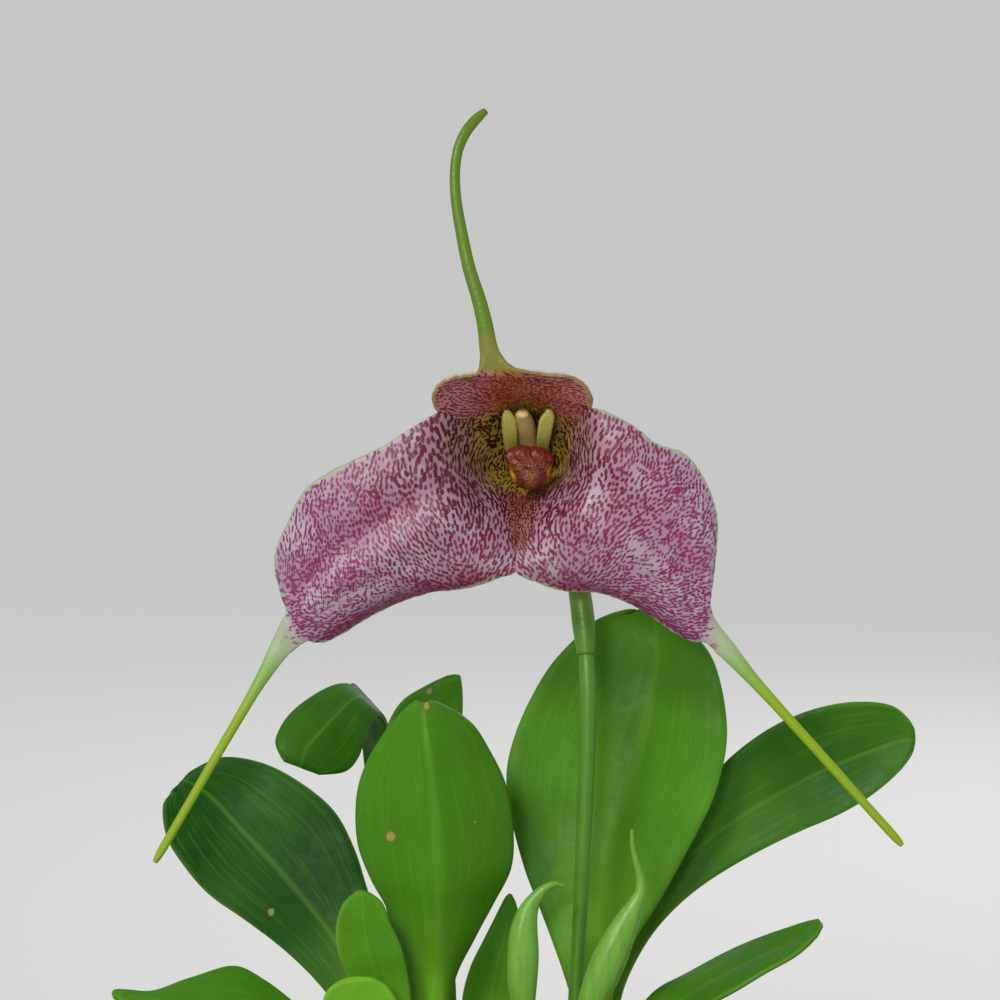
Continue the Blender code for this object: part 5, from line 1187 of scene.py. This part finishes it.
throatLook = {
    # The lip's finer outline, foot first: left, middle and right of each row
    "lipRows": [((2.42, 1, 108.81), (2.91, 1, 108.72), (3.39, 1, 108.81)),
                ((1.9, -0.2, 108.7), (2.9, -0.5, 108.5), (3.9, -0.2, 108.7)),
                ((1.5, -1.6, 108.85), (2.9, -2.2, 108.55), (4.3, -1.6, 108.9)),
                ((1.15, -2.5, 109.35), (2.95, -3.2, 109.15), (4.7, -2.4, 109.4)),
                ((0.9, -2.9, 110.1), (2.95, -3.5, 110.0), (4.9, -2.8, 110.15)),
                ((0.7, -3.1, 110.8), (2.9, -3.6, 110.9), (5.0, -2.9, 110.7)),
                ((0.55, -3.0, 111.35), (2.9, -3.3, 111.7), (5.05, -2.8, 111.0)),
                ((0.8, -2.5, 111.65), (2.85, -2.6, 112.15), (4.8, -2.4, 111.25))],
    "petal": srgb(168, 156, 66), "petalLine": srgb(134, 100, 44), "petalTip": srgb(176, 170, 84),
    "lip": srgb(112, 46, 18), "lipBump": srgb(58, 6, 8), "lipEdge": srgb(176, 124, 14),
    "lipFoot": srgb(160, 100, 62), "lipRim": srgb(112, 26, 20), "lipHeart": srgb(146, 96, 48),
    "column": srgb(184, 166, 96), "columnPink": srgb(170, 146, 84), "cap": srgb(206, 184, 116),
    "columnSteps": 6,
}


def fleshMaterial(name, low, high, spot, spotCell, spotSize, bumpScale, bumpHeight):
    # Waxy or warty flesh: two tones along the part, with spots and a raised grain
    made, nodes, shader = newMaterial(name, high)
    point = objectPoint(nodes)
    colour = nodes.mix(nodes.span(nodes.attribute("along"), 0.0, 1.0), low, high)
    gap = nodes.voronoi(point, 1000.0 / spotCell)
    colour = nodes.mix(nodes.span(gap, spotSize * 0.6, spotSize, 0.9, 0.0), colour, spot)
    grain = nodes.voronoi(point, bumpScale, feature="SMOOTH_F1")
    nodes.set(shader.inputs["Base Color"], colour)
    setGloss(nodes, shader, point, 5000.0, 0.32, 0.5)
    nodes.set(shader.inputs["Subsurface Weight"], 0.15)
    nodes.set(shader.inputs["Subsurface Scale"], 0.0005)
    nodes.set(shader.inputs["Normal"], nodes.bump(nodes.math("MULTIPLY", grain, -1.0), 0.6, bumpHeight))
    return made, nodes, shader


def bladePiece(name, rows, columns, steps, edge, middle, material, slotName, nodeNames, shape=None):
    rows = flatRows(rows)
    last = len(rows) - 1
    points, half, side, along = [], [], [], []
    for k in range(last * steps + 1):
        s = k / steps
        row = blend(rows, s)
        width = rowWidth(row)
        for j in range(columns + 1):
            t = 0.5 * (1 - math.cos(math.pi * j / columns))
            t = 0.5 * (t + j / columns)
            p = across(row, t)
            if shape:
                p = p + shape(s / last, 2 * t - 1)
            points.append(p)
            gap = min(t, 1 - t) * width
            rounding = math.sqrt(max(0.04, 1 - (1 - min(1.0, gap / (edge * 0.5))) ** 2))
            ends = math.sqrt(max(0.06, min(1.0, min(s, last - s) / 0.3)))
            half.append(0.5 * ends * rounding * (edge + (middle - edge) * (1 - (2 * t - 1) ** 2)))
            side.append(2 * t - 1)
            along.append(s / last)
    quads = gridQuads(last * steps, columns)
    verts, faces = sheetFaces(points, surfaceNormals(points, quads), quads, half)
    piece = newPiece(name, verts, faces, material, {"side": side * 2, "along": along * 2})
    return place(piece, nodeNames, slotName)


petalSkin = fleshMaterial("petalSkin", throatLook["petalTip"], throatLook["petal"], throatLook["petalLine"],
                          0.55, 0.2, 6000.0, 0.00006)[0]


def buildPetal(side, inner):
    # The petal's inner edge spreads a little towards the column
    def spread(u, off):
        return Vector((0.16 * inner * (1 + inner * off) * ramp(u, 0.05, 0.3), 0.0, 0.0))

    name = "petal_" + side
    return bladePiece("petal" + side.capitalize(), petalRows[name], 16, 8, 0.42, 0.55, petalSkin,
                      "petal", [name], spread)


buildPetal("left", 1)
buildPetal("right", -1)


def lipMaterial(look):
    made, nodes, shader = fleshMaterial("lipSkin", look["lipFoot"], look["lip"], look["lipBump"],
                                        0.42, 0.42, 3400.0, 0.0003)
    along, side = nodes.attribute("along"), nodes.attribute("side")
    wart = nodes.voronoi(objectPoint(nodes), 2600.0)
    body = nodes.mix(nodes.span(wart, 0.22, 0.45, 0.8, 0.0), look["lip"], look["lipBump"])
    colour = nodes.mix(nodes.span(along, 0.12, 0.34), look["lipFoot"], body)
    aside = nodes.math("ABSOLUTE", side)
    level = nodes.span(nodes.math("ABSOLUTE", nodes.math("SUBTRACT", along, 0.45)), 0.08, 0.2, 1.0, 0.0)
    middle = nodes.math("MULTIPLY", nodes.span(aside, 0.1, 0.4, 0.55, 0.0), level)
    colour = nodes.mix(middle, colour, look["lipHeart"])
    edge = nodes.span(aside, 0.62, 0.86)
    lowPart = nodes.span(along, 0.5, 0.72, 1.0, 0.0)
    colour = nodes.mix(nodes.math("MULTIPLY", edge, lowPart), colour, look["lipEdge"])
    colour = nodes.mix(nodes.span(along, 0.72, 0.84, 0.0, 0.9), colour, look["lipRim"])
    nodes.set(shader.inputs["Base Color"], colour)
    nodes.set(shader.inputs["Roughness"], 0.5)
    return made


def lipShape(u, off):
    # Warts on the lip's face, and a crimped rim with a notch at its top
    rim = ramp(u, 0.72, 0.95)
    shelf = math.exp(-((u - 0.86) / 0.09) ** 2)
    notch = math.exp(-(off / 0.16) ** 2)
    ruffle = noise.noise(Vector((off * 4.0, u * 6.0, 2.0)))
    return Vector((0.0, -0.35 * shelf * (1 - 0.6 * notch) + 0.22 * ruffle * rim
                   - 0.07 * math.sin(off * 9 + u * 21) * (1 - rim), 0.14 * ruffle * rim - 0.16 * rim * notch))


lipSkin = lipMaterial(throatLook)
bladePiece("lipBlade", throatLook["lipRows"], 40, 10, 0.62, 0.86, lipSkin, "lip", ["lip"], lipShape)

columnPink = throatLook["columnPink"]
columnSkin = fleshMaterial("columnSkin", throatLook["column"], columnPink, columnPink,
                           0.5, 0.22, 5000.0, 0.00008)[0]
columnPath = finePath(stalkRows["column"], throatLook["columnSteps"], (False, True))
verts, faces, along = tubeMesh(columnPath, 30, squash=0.88)
place(newPiece("columnBody", verts, faces, columnSkin, {"along": along, "side": [0.0] * len(along)}),
      ["column"], "column")
capTone = throatLook["cap"]
capSkin = fleshMaterial("capSkin", capTone, capTone, columnPink, 0.6, 0.2, 5000.0, 0.00005)[0]
capLook = {"centre": (2.13, -4.25, 115.42), "radii": (0.62, 0.42, 0.42)}


def buildCap(look):
    ball = bmesh.new()
    bmesh.ops.create_uvsphere(ball, u_segments=32, v_segments=20, radius=1.0)
    verts = []
    for v in ball.verts:
        groove = 0.12 * math.exp(-(v.co.x / 0.16) ** 2) * max(0.0, v.co.z)
        shrunk = v.co * (1 - groove)
        verts.append(Vector([c + r * x for c, r, x in zip(look["centre"], look["radii"], shrunk)]))
    faces = [tuple(v.index for v in f.verts) for f in ball.faces]
    ball.free()
    plain = [0.0] * len(verts)
    piece = newPiece("antherCap", verts, faces, capSkin, {"along": plain, "side": plain})
    return place(piece, ["anther_cap"], "column")


buildCap(capLook)
print("flower parts done")


# Rhizome and roots

rhizomeLook = {
    "height": 47.7, "radius": 1.35, "stubRadius": 0.95, "gap": 0.4, "rootRadius": 0.75,
    "rootRings": 39, "rootStep": 0.3,
    "roots": [(-9.5, -0.6), (-3.0, 3.1), (3.6, 2.6), (10.6, 3.2)],
    "path": [(-11.6, -2.6), (-9.0, 0.2), (-5.0, 2.8), (0.0, 2.6), (5.0, 1.6), (9.0, 2.4), (12.0, 3.8)],
    "bark": srgb(122, 112, 60), "dark": srgb(70, 56, 30), "sheath": srgb(168, 150, 104),
}


def fibreMaterial(look):
    made, nodes, shader = newMaterial("rhizomeSkin", look["bark"])
    point = objectPoint(nodes)
    streak = nodes.noise(nodes.vector("MULTIPLY", point, (1.0, 1.0, 0.2)), 900.0, 4.0, 0.65)
    colour = nodes.mix(nodes.span(streak, 0.35, 0.7), look["dark"], look["bark"])
    patches = nodes.span(nodes.noise(point, 300.0, 2.0), 0.5, 0.75, 0.0, 0.8)
    colour = nodes.mix(patches, colour, look["sheath"])
    nodes.set(shader.inputs["Base Color"], colour)
    nodes.set(shader.inputs["Roughness"], 0.75)
    nodes.set(shader.inputs["Normal"], nodes.bump(streak, 0.6, 0.0003))
    return made


def nearestOnRhizome(look, x, y):
    rows = [list(p) for p in look["path"]]
    spots = [blend(rows, k / 59 * (len(rows) - 1.0001)) for k in range(60)]
    return min(spots, key=lambda p: math.hypot(p[0] - x, p[1] - y))


def buildRhizome(look):
    verts, faces, along = [], [], []

    def join(path, sides, ribs=None):
        v, f, a = tubeMesh(path, sides, ribs=ribs)
        start = len(verts)
        verts.extend(v)
        faces.extend(tuple(start + i for i in face) for face in f)
        along.extend(a)

    rows = [list(p) + [look["height"], look["radius"]] for p in look["path"]]
    fine = [blend(rows, k / 48 * (len(rows) - 1.0001)) for k in range(49)]
    body = [(Vector(r[:3]), r[3] * (1 + 0.08 * math.sin(i * 1.3))) for i, r in enumerate(fine)]
    body = finePath([(p, r) for p, r in body], 1, (True, True))
    join(body, 20)
    feet = [(Vector(leaf[-1][1]), Vector(leaf[-2][1])) for leaf in leafRows.values()]
    feet += [(Vector(stalkRows[n][0][0]), Vector(stalkRows[n][1][0]))
             for n in ("flower_stem", "flower_bud_1", "flower_bud_2")]
    for foot, above in feet:
        up = (above - foot).normalized()
        x, y = nearestOnRhizome(look, foot.x, foot.y)
        start = Vector((x, y, look["height"]))
        top = foot - up * look["gap"]
        knee = top - up * (0.45 * (top - start).length)
        path = []
        for k in range(17):
            u = k / 16
            point = start * (1 - u) ** 2 + knee * (2 * u * (1 - u)) + top * u * u
            sheath = 1.05 + 0.10 * (0.5 + 0.5 * math.cos(u * 22.0)) * ramp(u, 0.1, 0.4)
            path.append((point, look["stubRadius"] * sheath))
        join(path, 16)
    for x, y in look["roots"]:
        path = []
        for k in range(look["rootRings"]):
            depth = look["rootStep"] * k
            path.append((Vector((x, y, look["height"] - depth)), look["rootRadius"] * (1.1 - 0.012 * k)))
        join(path, 12)
    piece = newPiece("rhizomeBody", verts, faces, fibreMaterial(look), {"along": along})
    return place(piece, ["rhizome"], "rhizome")


buildRhizome(rhizomeLook)
print("rhizome done")


# Growing mix: a bed of bark chips with moss

mixLook = {
    "top": 45.0, "relief": 0.7, "low": 3.5, "radiusLow": 17.3, "radiusTop": 25.0, "segments": 96, "rings": 34,
    "chips": 520, "chipSeed": 7, "chipSizes": (0.0011, 0.0034),
    "moss": 1500, "mossSeed": 3, "mossSizes": (0.0011, 0.0022), "mossCrowding": 2.5, "mossPatches": 0.54,
    "bark": srgb(112, 72, 42), "barkDark": srgb(48, 30, 18), "barkPale": srgb(170, 124, 84),
    "mossDark": srgb(92, 128, 34), "mossPale": srgb(158, 178, 84),
}


def barkMaterial(look):
    made, nodes, shader = newMaterial("barkChips", look["bark"])
    point = objectPoint(nodes)
    layered = nodes.noise(nodes.vector("MULTIPLY", point, (0.5, 0.8, 2.2)), 700.0, 5.0, 0.65)
    broad = nodes.noise(point, 140.0, 2.0)
    colour = nodes.mix(nodes.span(broad, 0.35, 0.65), look["barkDark"], look["bark"])
    colour = nodes.mix(nodes.span(layered, 0.5, 0.78, 0.0, 0.7), colour, look["barkPale"])
    nodes.set(shader.inputs["Base Color"], colour)
    nodes.set(shader.inputs["Roughness"], nodes.span(layered, 0.3, 0.7, 0.7, 0.92))
    nodes.set(shader.inputs["Normal"], nodes.bump(layered, 0.8, 0.0005))
    return made


def mossMaterial(look):
    made, nodes, shader = newMaterial("moss", look["mossDark"])
    tone = nodes.noise(objectPoint(nodes), 260.0, 3.0)
    colour = nodes.mix(nodes.span(tone, 0.4, 0.68), look["mossDark"], look["mossPale"])
    nodes.set(shader.inputs["Base Color"], colour)
    nodes.set(shader.inputs["Roughness"], 0.7)
    return made


def mixHeight(look, x, y):
    edge = max(0.0, 1.0 - (math.hypot(x, y) / 25.4) ** 8)
    bumps = 0.5 * noise.noise(Vector((x * 0.3, y * 0.3, 4.0))) + 0.5 * noise.noise(Vector((x, y, 9.0)) * 0.62)
    return look["top"] + look["relief"] * edge * bumps


def buildBed(look, material):
    segments, rings = look["segments"], look["rings"]
    verts = [Vector((0, 0, look["low"]))]
    faces = []
    for i in range(segments):
        a = 2 * math.pi * i / segments
        verts.append(Vector((look["radiusLow"] * math.cos(a), look["radiusLow"] * math.sin(a), look["low"])))
        faces.append((0, 1 + (i + 1) % segments, 1 + i))
    previous = 1
    for k in range(rings):
        radius = look["radiusTop"] * (1 - k / rings)
        start = len(verts)
        for i in range(segments):
            a = 2 * math.pi * i / segments
            x, y = radius * math.cos(a), radius * math.sin(a)
            verts.append(Vector((x, y, mixHeight(look, x, y))))
        for i in range(segments):
            j = (i + 1) % segments
            faces.append((previous + i, previous + j, start + j, start + i))
        previous = start
    hub = len(verts)
    verts.append(Vector((0, 0, mixHeight(look, 0, 0))))
    for i in range(segments):
        faces.append((hub, previous + i, previous + (i + 1) % segments))
    return newPiece("mixBed", verts, faces, material)


def chipMesh(seed):
    # A broken chip of bark, about 1 mm across before it is scaled
    draw = random.Random(seed)
    chip = bmesh.new()
    bmesh.ops.create_cube(chip, size=1.0)
    bmesh.ops.subdivide_edges(chip, edges=chip.edges[:], cuts=1, use_grid_fill=True)
    for v in chip.verts:
        v.co.x *= 1.25 + draw.uniform(-0.25, 0.25)
        v.co.y *= 0.8 + draw.uniform(-0.2, 0.2)
        v.co.z *= 0.34 + draw.uniform(-0.1, 0.1)
    bmesh.ops.bevel(chip, geom=chip.edges[:], offset=0.05, segments=1, affect="EDGES")
    mesh = bpy.data.meshes.new("chip%d" % seed)
    chip.to_mesh(mesh)
    chip.free()
    made = bpy.data.objects.new("chip%d" % seed, mesh)
    bpy.context.scene.collection.objects.link(made)
    return made


def sprigMesh():
    # A sprig of moss: a few pointed leaflets round a short stalk
    verts, faces = [], []
    for k in range(9):
        a = k * 2.4
        lift, out = 0.18 + 0.09 * k, 0.42 - 0.025 * k
        d = Vector((math.cos(a), math.sin(a), 0))
        e = Vector((-d.y, d.x, 0)) * 0.07
        base = Vector((0, 0, lift - 0.1))
        tip = base + d * out + Vector((0, 0, 0.16 + 0.03 * k))
        low = base + d * (out * 0.45) + Vector((0, 0, -0.02))
        start = len(verts)
        verts += [base, low + e, tip, low - e]
        faces += [(start, start + 1, start + 2), (start, start + 2, start + 3)]
    mesh = bpy.data.meshes.new("sprig")
    mesh.from_pydata([tuple(v) for v in verts], [], faces)
    made = bpy.data.objects.new("sprig", mesh)
    bpy.context.scene.collection.objects.link(made)
    return made


def scatterTree():
    # Node tree that scatters one object over a surface, seeded, with turned and scaled copies
    tree = bpy.data.node_groups.new("scatter", "GeometryNodeTree")
    for label, kind in (("Geometry", "Geometry"), ("Chip", "Object"), ("Count per m2", "Float"),
                        ("Seed", "Int"), ("Size low", "Float"), ("Size high", "Float"), ("Tilt", "Float"),
                        ("Lift", "Float"), ("Patches", "Float"), ("Material", "Material")):
        tree.interface.new_socket(label, in_out="INPUT", socket_type="NodeSocket" + kind)
    tree.interface.new_socket("Geometry", in_out="OUTPUT", socket_type="NodeSocketGeometry")
    nodes = Nodes(tree)
    given = nodes.add("NodeGroupInput").outputs
    # Only where the surface faces up, and in patches where the cloud is dense
    normal = nodes.add("GeometryNodeInputNormal").outputs[0]
    facing = nodes.add("ShaderNodeSeparateXYZ", {0: normal}).outputs["Z"]
    upward = nodes.add("FunctionNodeCompare", {0: facing, 1: 0.6}, data_type="FLOAT",
                       operation="GREATER_THAN").outputs[0]
    where = nodes.add("GeometryNodeInputPosition").outputs[0]
    cloud = nodes.add("ShaderNodeTexNoise", {"Vector": where, "Scale": 130.0}).outputs[0]
    patch = nodes.add("FunctionNodeCompare", {0: cloud, 1: given["Patches"]}, data_type="FLOAT",
                      operation="GREATER_THAN").outputs[0]
    both = nodes.add("FunctionNodeBooleanMath", {0: upward, 1: patch}).outputs[0]
    points = nodes.add("GeometryNodeDistributePointsOnFaces",
                       {"Mesh": given["Geometry"], "Selection": both, "Density": given["Count per m2"],
                        "Seed": given["Seed"]}).outputs["Points"]
    # Each copy tilts a little either way and turns any way round
    tilt, backTilt = given["Tilt"], nodes.math("MULTIPLY", given["Tilt"], -1.0)
    least = nodes.add("ShaderNodeCombineXYZ", {"X": backTilt, "Y": backTilt}).outputs[0]
    most = nodes.add("ShaderNodeCombineXYZ", {"X": tilt, "Y": tilt, "Z": fullTurn}).outputs[0]
    turn = nodes.add("FunctionNodeRandomValue", {0: least, 1: most, "Seed": given["Seed"]},
                     data_type="FLOAT_VECTOR").outputs[0]
    size = nodes.add("FunctionNodeRandomValue", {2: given["Size low"], 3: given["Size high"],
                                                 "Seed": given["Seed"]}).outputs[1]
    item = nodes.add("GeometryNodeObjectInfo", {0: given["Chip"]}).outputs["Geometry"]
    copies = nodes.add("GeometryNodeInstanceOnPoints",
                       {"Points": points, "Instance": item, "Rotation": turn, "Scale": size}).outputs[0]
    lift = nodes.add("ShaderNodeCombineXYZ", {"Z": given["Lift"]}).outputs[0]
    moved = nodes.add("GeometryNodeTranslateInstances",
                      {"Instances": copies, "Translation": lift, "Local Space": False}).outputs[0]
    real = nodes.add("GeometryNodeRealizeInstances", {0: moved}).outputs[0]
    paint = nodes.add("GeometryNodeSetMaterial", {"Geometry": real, "Material": given["Material"]}).outputs[0]
    nodes.set(nodes.add("NodeGroupOutput").inputs[0], paint)
    return tree


def scatter(name, surface, tree, values):
    # Run the scatter tree over a surface and keep its result as a plain mesh
    holder = bpy.data.objects.new(name + "Source", surface.data)
    bpy.context.scene.collection.objects.link(holder)
    mod = holder.modifiers.new("scatter", "NODES")
    mod.node_group = tree
    for socket in tree.interface.items_tree:
        if socket.in_out == "INPUT" and socket.name in values:
            mod[socket.identifier] = values[socket.name]
    bpy.context.view_layer.update()
    graph = bpy.context.evaluated_depsgraph_get()
    mesh = bpy.data.meshes.new_from_object(holder.evaluated_get(graph))
    mesh.name = name
    bpy.data.objects.remove(holder)
    made = bpy.data.objects.new(name, mesh)
    bpy.context.scene.collection.objects.link(made)
    return made


barkSkin, mossSkin = barkMaterial(mixLook), mossMaterial(mixLook)
bed = place(buildBed(mixLook, barkSkin), ["growing_mix"], "bark_mix")
tree = scatterTree()
areaTop = math.pi * (mixLook["radiusTop"] * mm) ** 2
for k in range(3):
    chip = chipMesh(k + 1)
    values = {"Chip": chip, "Count per m2": mixLook["chips"] / 3 / areaTop, "Seed": mixLook["chipSeed"] + k,
              "Size low": mixLook["chipSizes"][0], "Size high": mixLook["chipSizes"][1],
              "Tilt": 0.5, "Lift": 0.0001, "Patches": 0.0, "Material": barkSkin}
    chips = scatter("barkChips%d" % (k + 1), bed, tree, values)
    place(chips, [], "bark_mix")
    print("chips", k + 1, len(chips.data.polygons))
    bpy.data.objects.remove(chip)
sprig = sprigMesh()
values = {"Chip": sprig, "Count per m2": mixLook["moss"] / areaTop * mixLook["mossCrowding"],
          "Seed": mixLook["mossSeed"],
          "Size low": mixLook["mossSizes"][0], "Size high": mixLook["mossSizes"][1],
          "Tilt": 0.35, "Lift": 0.0002, "Patches": mixLook["mossPatches"], "Material": mossSkin}
moss = scatter("moss", bed, tree, values)
place(moss, [], "bark_mix")
bpy.data.objects.remove(sprig)
print("moss", len(moss.data.polygons))


# Clay pot

potLook = {
    "profile": [(0.0, 0.0), (19.0, 0.0), (19.9, 0.2), (20.4, 0.8), (20.6, 1.6), (26.75, 35.2), (27.0, 35.6),
                (27.6, 35.8), (29.0, 35.9), (29.7, 36.2), (29.95, 36.9), (30.0, 37.6), (30.0, 48.6),
                (29.9, 49.3), (29.5, 49.8), (28.9, 50.0), (28.2, 50.0), (27.6, 49.8), (27.2, 49.4),
                (27.0, 48.8), (17.8, 4.6), (17.2, 3.6), (16.2, 3.2), (0.0, 3.2)],
    "segments": 144, "drainHoles": 3, "drainRadius": 2.5, "drainRing": 11.0,
    "clay": srgb(190, 106, 70), "clayPale": srgb(214, 158, 126), "clayDark": srgb(140, 72, 48),
    "algae": srgb(120, 120, 74),
}


def clayMaterial(look):
    made, nodes, shader = newMaterial("firedClay", look["clay"])
    point = objectPoint(nodes)
    parts = nodes.add("ShaderNodeSeparateXYZ", {"Vector": point}).outputs
    cloud = nodes.noise(point, 42.0, 5.0, 0.6)
    grain = nodes.noise(point, 1900.0, 3.0, 0.6)
    turned = nodes.noise(nodes.vector("MULTIPLY", point, (0.05, 0.05, 1.0)), 900.0, 2.0)
    colour = nodes.mix(nodes.span(cloud, 0.35, 0.65), look["clay"], look["clayPale"])
    colour = nodes.mix(nodes.span(grain, 0.55, 0.8, 0.0, 0.5), colour, look["clayDark"])
    damp = nodes.math("MULTIPLY", nodes.span(parts["Z"], 0.004, 0.026, 1.0, 0.0), nodes.span(cloud, 0.4, 0.6))
    colour = nodes.mix(nodes.math("MULTIPLY", damp, 0.45), colour, look["algae"])
    nodes.set(shader.inputs["Base Color"], colour)
    nodes.set(shader.inputs["Roughness"], nodes.span(grain, 0.3, 0.7, 0.78, 0.95))
    height = nodes.math("ADD", nodes.math("MULTIPLY", grain, 0.5), turned)
    nodes.set(shader.inputs["Normal"], nodes.bump(height, 0.35, 0.0002))
    return made


def buildPot(look):
    verts, faces, starts = [], [], []
    segments, profile = look["segments"], look["profile"]
    for r, z in profile:
        starts.append(len(verts))
        if r == 0.0:
            verts.append(Vector((0, 0, z)))
        else:
            turns = [2 * math.pi * i / segments for i in range(segments)]
            verts += [Vector((r * math.cos(a), r * math.sin(a), z)) for a in turns]
    for k in range(len(profile) - 1):
        a, b = starts[k], starts[k + 1]
        for i in range(segments):
            j = (i + 1) % segments
            if profile[k][0] == 0.0:
                faces.append((a, b + j, b + i))
            elif profile[k + 1][0] == 0.0:
                faces.append((a + i, a + j, b))
            else:
                faces.append((a + i, a + j, b + j, b + i))
    material = clayMaterial(look)
    body = newPiece("clayPot", verts, faces, material)
    for i in range(look["drainHoles"]):
        a = 2 * math.pi * (i + 0.25) / look["drainHoles"]
        spot = (look["drainRing"] * math.cos(a), look["drainRing"] * math.sin(a))
        v, f, _ = tubeMesh([((*spot, -2.0), look["drainRadius"]), ((*spot, 5.2), look["drainRadius"])], 40)
        hole = newPiece("drainHole", v, f, material)
        mod = body.modifiers.new("hole", "BOOLEAN")
        mod.operation, mod.solver, mod.object = "DIFFERENCE", "EXACT", hole
        bpy.context.view_layer.update()
        mesh = bpy.data.meshes.new_from_object(body.evaluated_get(bpy.context.evaluated_depsgraph_get()))
        body.modifiers.clear()
        old, body.data = body.data, mesh
        bpy.data.meshes.remove(old)
        bpy.data.objects.remove(hole)
    body.data.shade_smooth()
    body.data.set_sharp_from_angle(angle=math.radians(40))
    return place(body, ["pot"], "terracotta")


buildPot(potLook)
print("pot done")


# Floor, light and camera

stageLook = {
    "floorSize": 80.0, "floor": srgb(226, 226, 224), "world": (0.93, 0.96, 1.0), "worldStrength": 0.46,
    "sun": {"azimuth": -30.0, "elevation": 38.0, "strength": 1.6, "angle": 14.0,
            "colour": (1.0, 0.975, 0.94)},
    # The flower's own light keeps to a narrow cone, off the floor beneath it
    "flowerSpot": {"kind": "SPOT", "place": (-0.12, -0.62, 0.24), "size": 0.12, "cone": 24.0, "power": 4.6,
                   "colour": (1.0, 0.98, 0.95)},
    "rim": {"kind": "AREA", "place": (0.35, 0.6, 0.45), "size": 0.4, "power": 1.2, "colour": (1.0, 1.0, 1.0)},
    "aim": (0.0, 0.0, 0.1), "coneSoftness": 0.7,
}


def buildStage(look):
    scene = bpy.context.scene
    mesh = bpy.data.meshes.new("floor")
    r = look["floorSize"] / 2
    mesh.from_pydata([(-r, -r, 0), (r, -r, 0), (r, r, 0), (-r, r, 0)], [], [(0, 1, 2, 3)])
    floor = bpy.data.objects.new("floor", mesh)
    scene.collection.objects.link(floor)
    made, nodes, shader = newMaterial("floorPaper", look["floor"])
    matte = nodes.add("ShaderNodeBsdfDiffuse", {"Color": look["floor"]})
    made.node_tree.links.new(matte.outputs[0], made.node_tree.nodes["Material Output"].inputs["Surface"])
    made.node_tree.nodes.remove(shader)
    mesh.materials.append(made)
    sun = look["sun"]
    light = bpy.data.lights.new("sun", "SUN")
    light.energy, light.angle, light.color = sun["strength"], math.radians(sun["angle"]), sun["colour"]
    lamp = bpy.data.objects.new("sun", light)
    high, turn = math.radians(sun["elevation"]), math.radians(sun["azimuth"])
    away = Vector((math.sin(turn) * math.cos(high), -math.cos(turn) * math.cos(high), math.sin(high)))
    lamp.rotation_euler = (-away).to_track_quat("-Z", "Y").to_euler()
    scene.collection.objects.link(lamp)
    for name in ("flowerSpot", "rim"):
        item = look[name]
        light = bpy.data.lights.new(name, item["kind"])
        if item["kind"] == "SPOT":
            light.shadow_soft_size = item["size"] / 2
            light.spot_size, light.spot_blend = math.radians(item["cone"]), look["coneSoftness"]
        else:
            light.shape, light.size = "DISK", item["size"]
        light.energy, light.color = item["power"], item["colour"]
        lamp = bpy.data.objects.new(name, light)
        lamp.location = item["place"]
        aim = Vector(look["aim"]) - Vector(item["place"])
        lamp.rotation_euler = aim.to_track_quat("-Z", "Y").to_euler()
        scene.collection.objects.link(lamp)
    # Behind the floor's far edge the room is as bright as the lit floor, so no line shows between them
    world = bpy.data.worlds.new("studio")
    world.use_nodes = True
    nodes = Nodes(world.node_tree)
    background = world.node_tree.nodes["Background"]
    glow = [look["world"][i] * look["worldStrength"] for i in range(3)]
    bright = [look["floor"][i] * (glow[i] + sun["strength"] * sun["colour"][i] * math.sin(high) / math.pi)
              for i in range(3)]
    seen = nodes.add("ShaderNodeLightPath").outputs["Is Camera Ray"]
    nodes.set(background.inputs["Color"], nodes.mix(seen, (*glow, 1.0), (*bright, 1.0)))
    background.inputs["Strength"].default_value = 1.0
    scene.world = world
    scene.view_settings.view_transform = "Standard"


buildStage(stageLook)

cameraLook = {"aim": (0.0, -8.0, 107.5), "distance": 450.0, "elevation": 4.0, "lens": 36.0 * 450.0 / 95.0}


def buildCamera(look):
    tilt = math.radians(look["elevation"])
    data = bpy.data.cameras.new("camera")
    data.sensor_width, data.lens = 36.0, look["lens"]
    data.clip_start, data.clip_end = 0.01, 50.0
    made = bpy.data.objects.new("camera", data)
    aim = Vector(look["aim"]) * mm
    made.location = aim + Vector((0, -math.cos(tilt), math.sin(tilt))) * look["distance"] * mm
    made.rotation_euler = (math.radians(90.0) - tilt, 0.0, 0.0)
    bpy.context.scene.collection.objects.link(made)
    bpy.context.scene.camera = made


buildCamera(cameraLook)
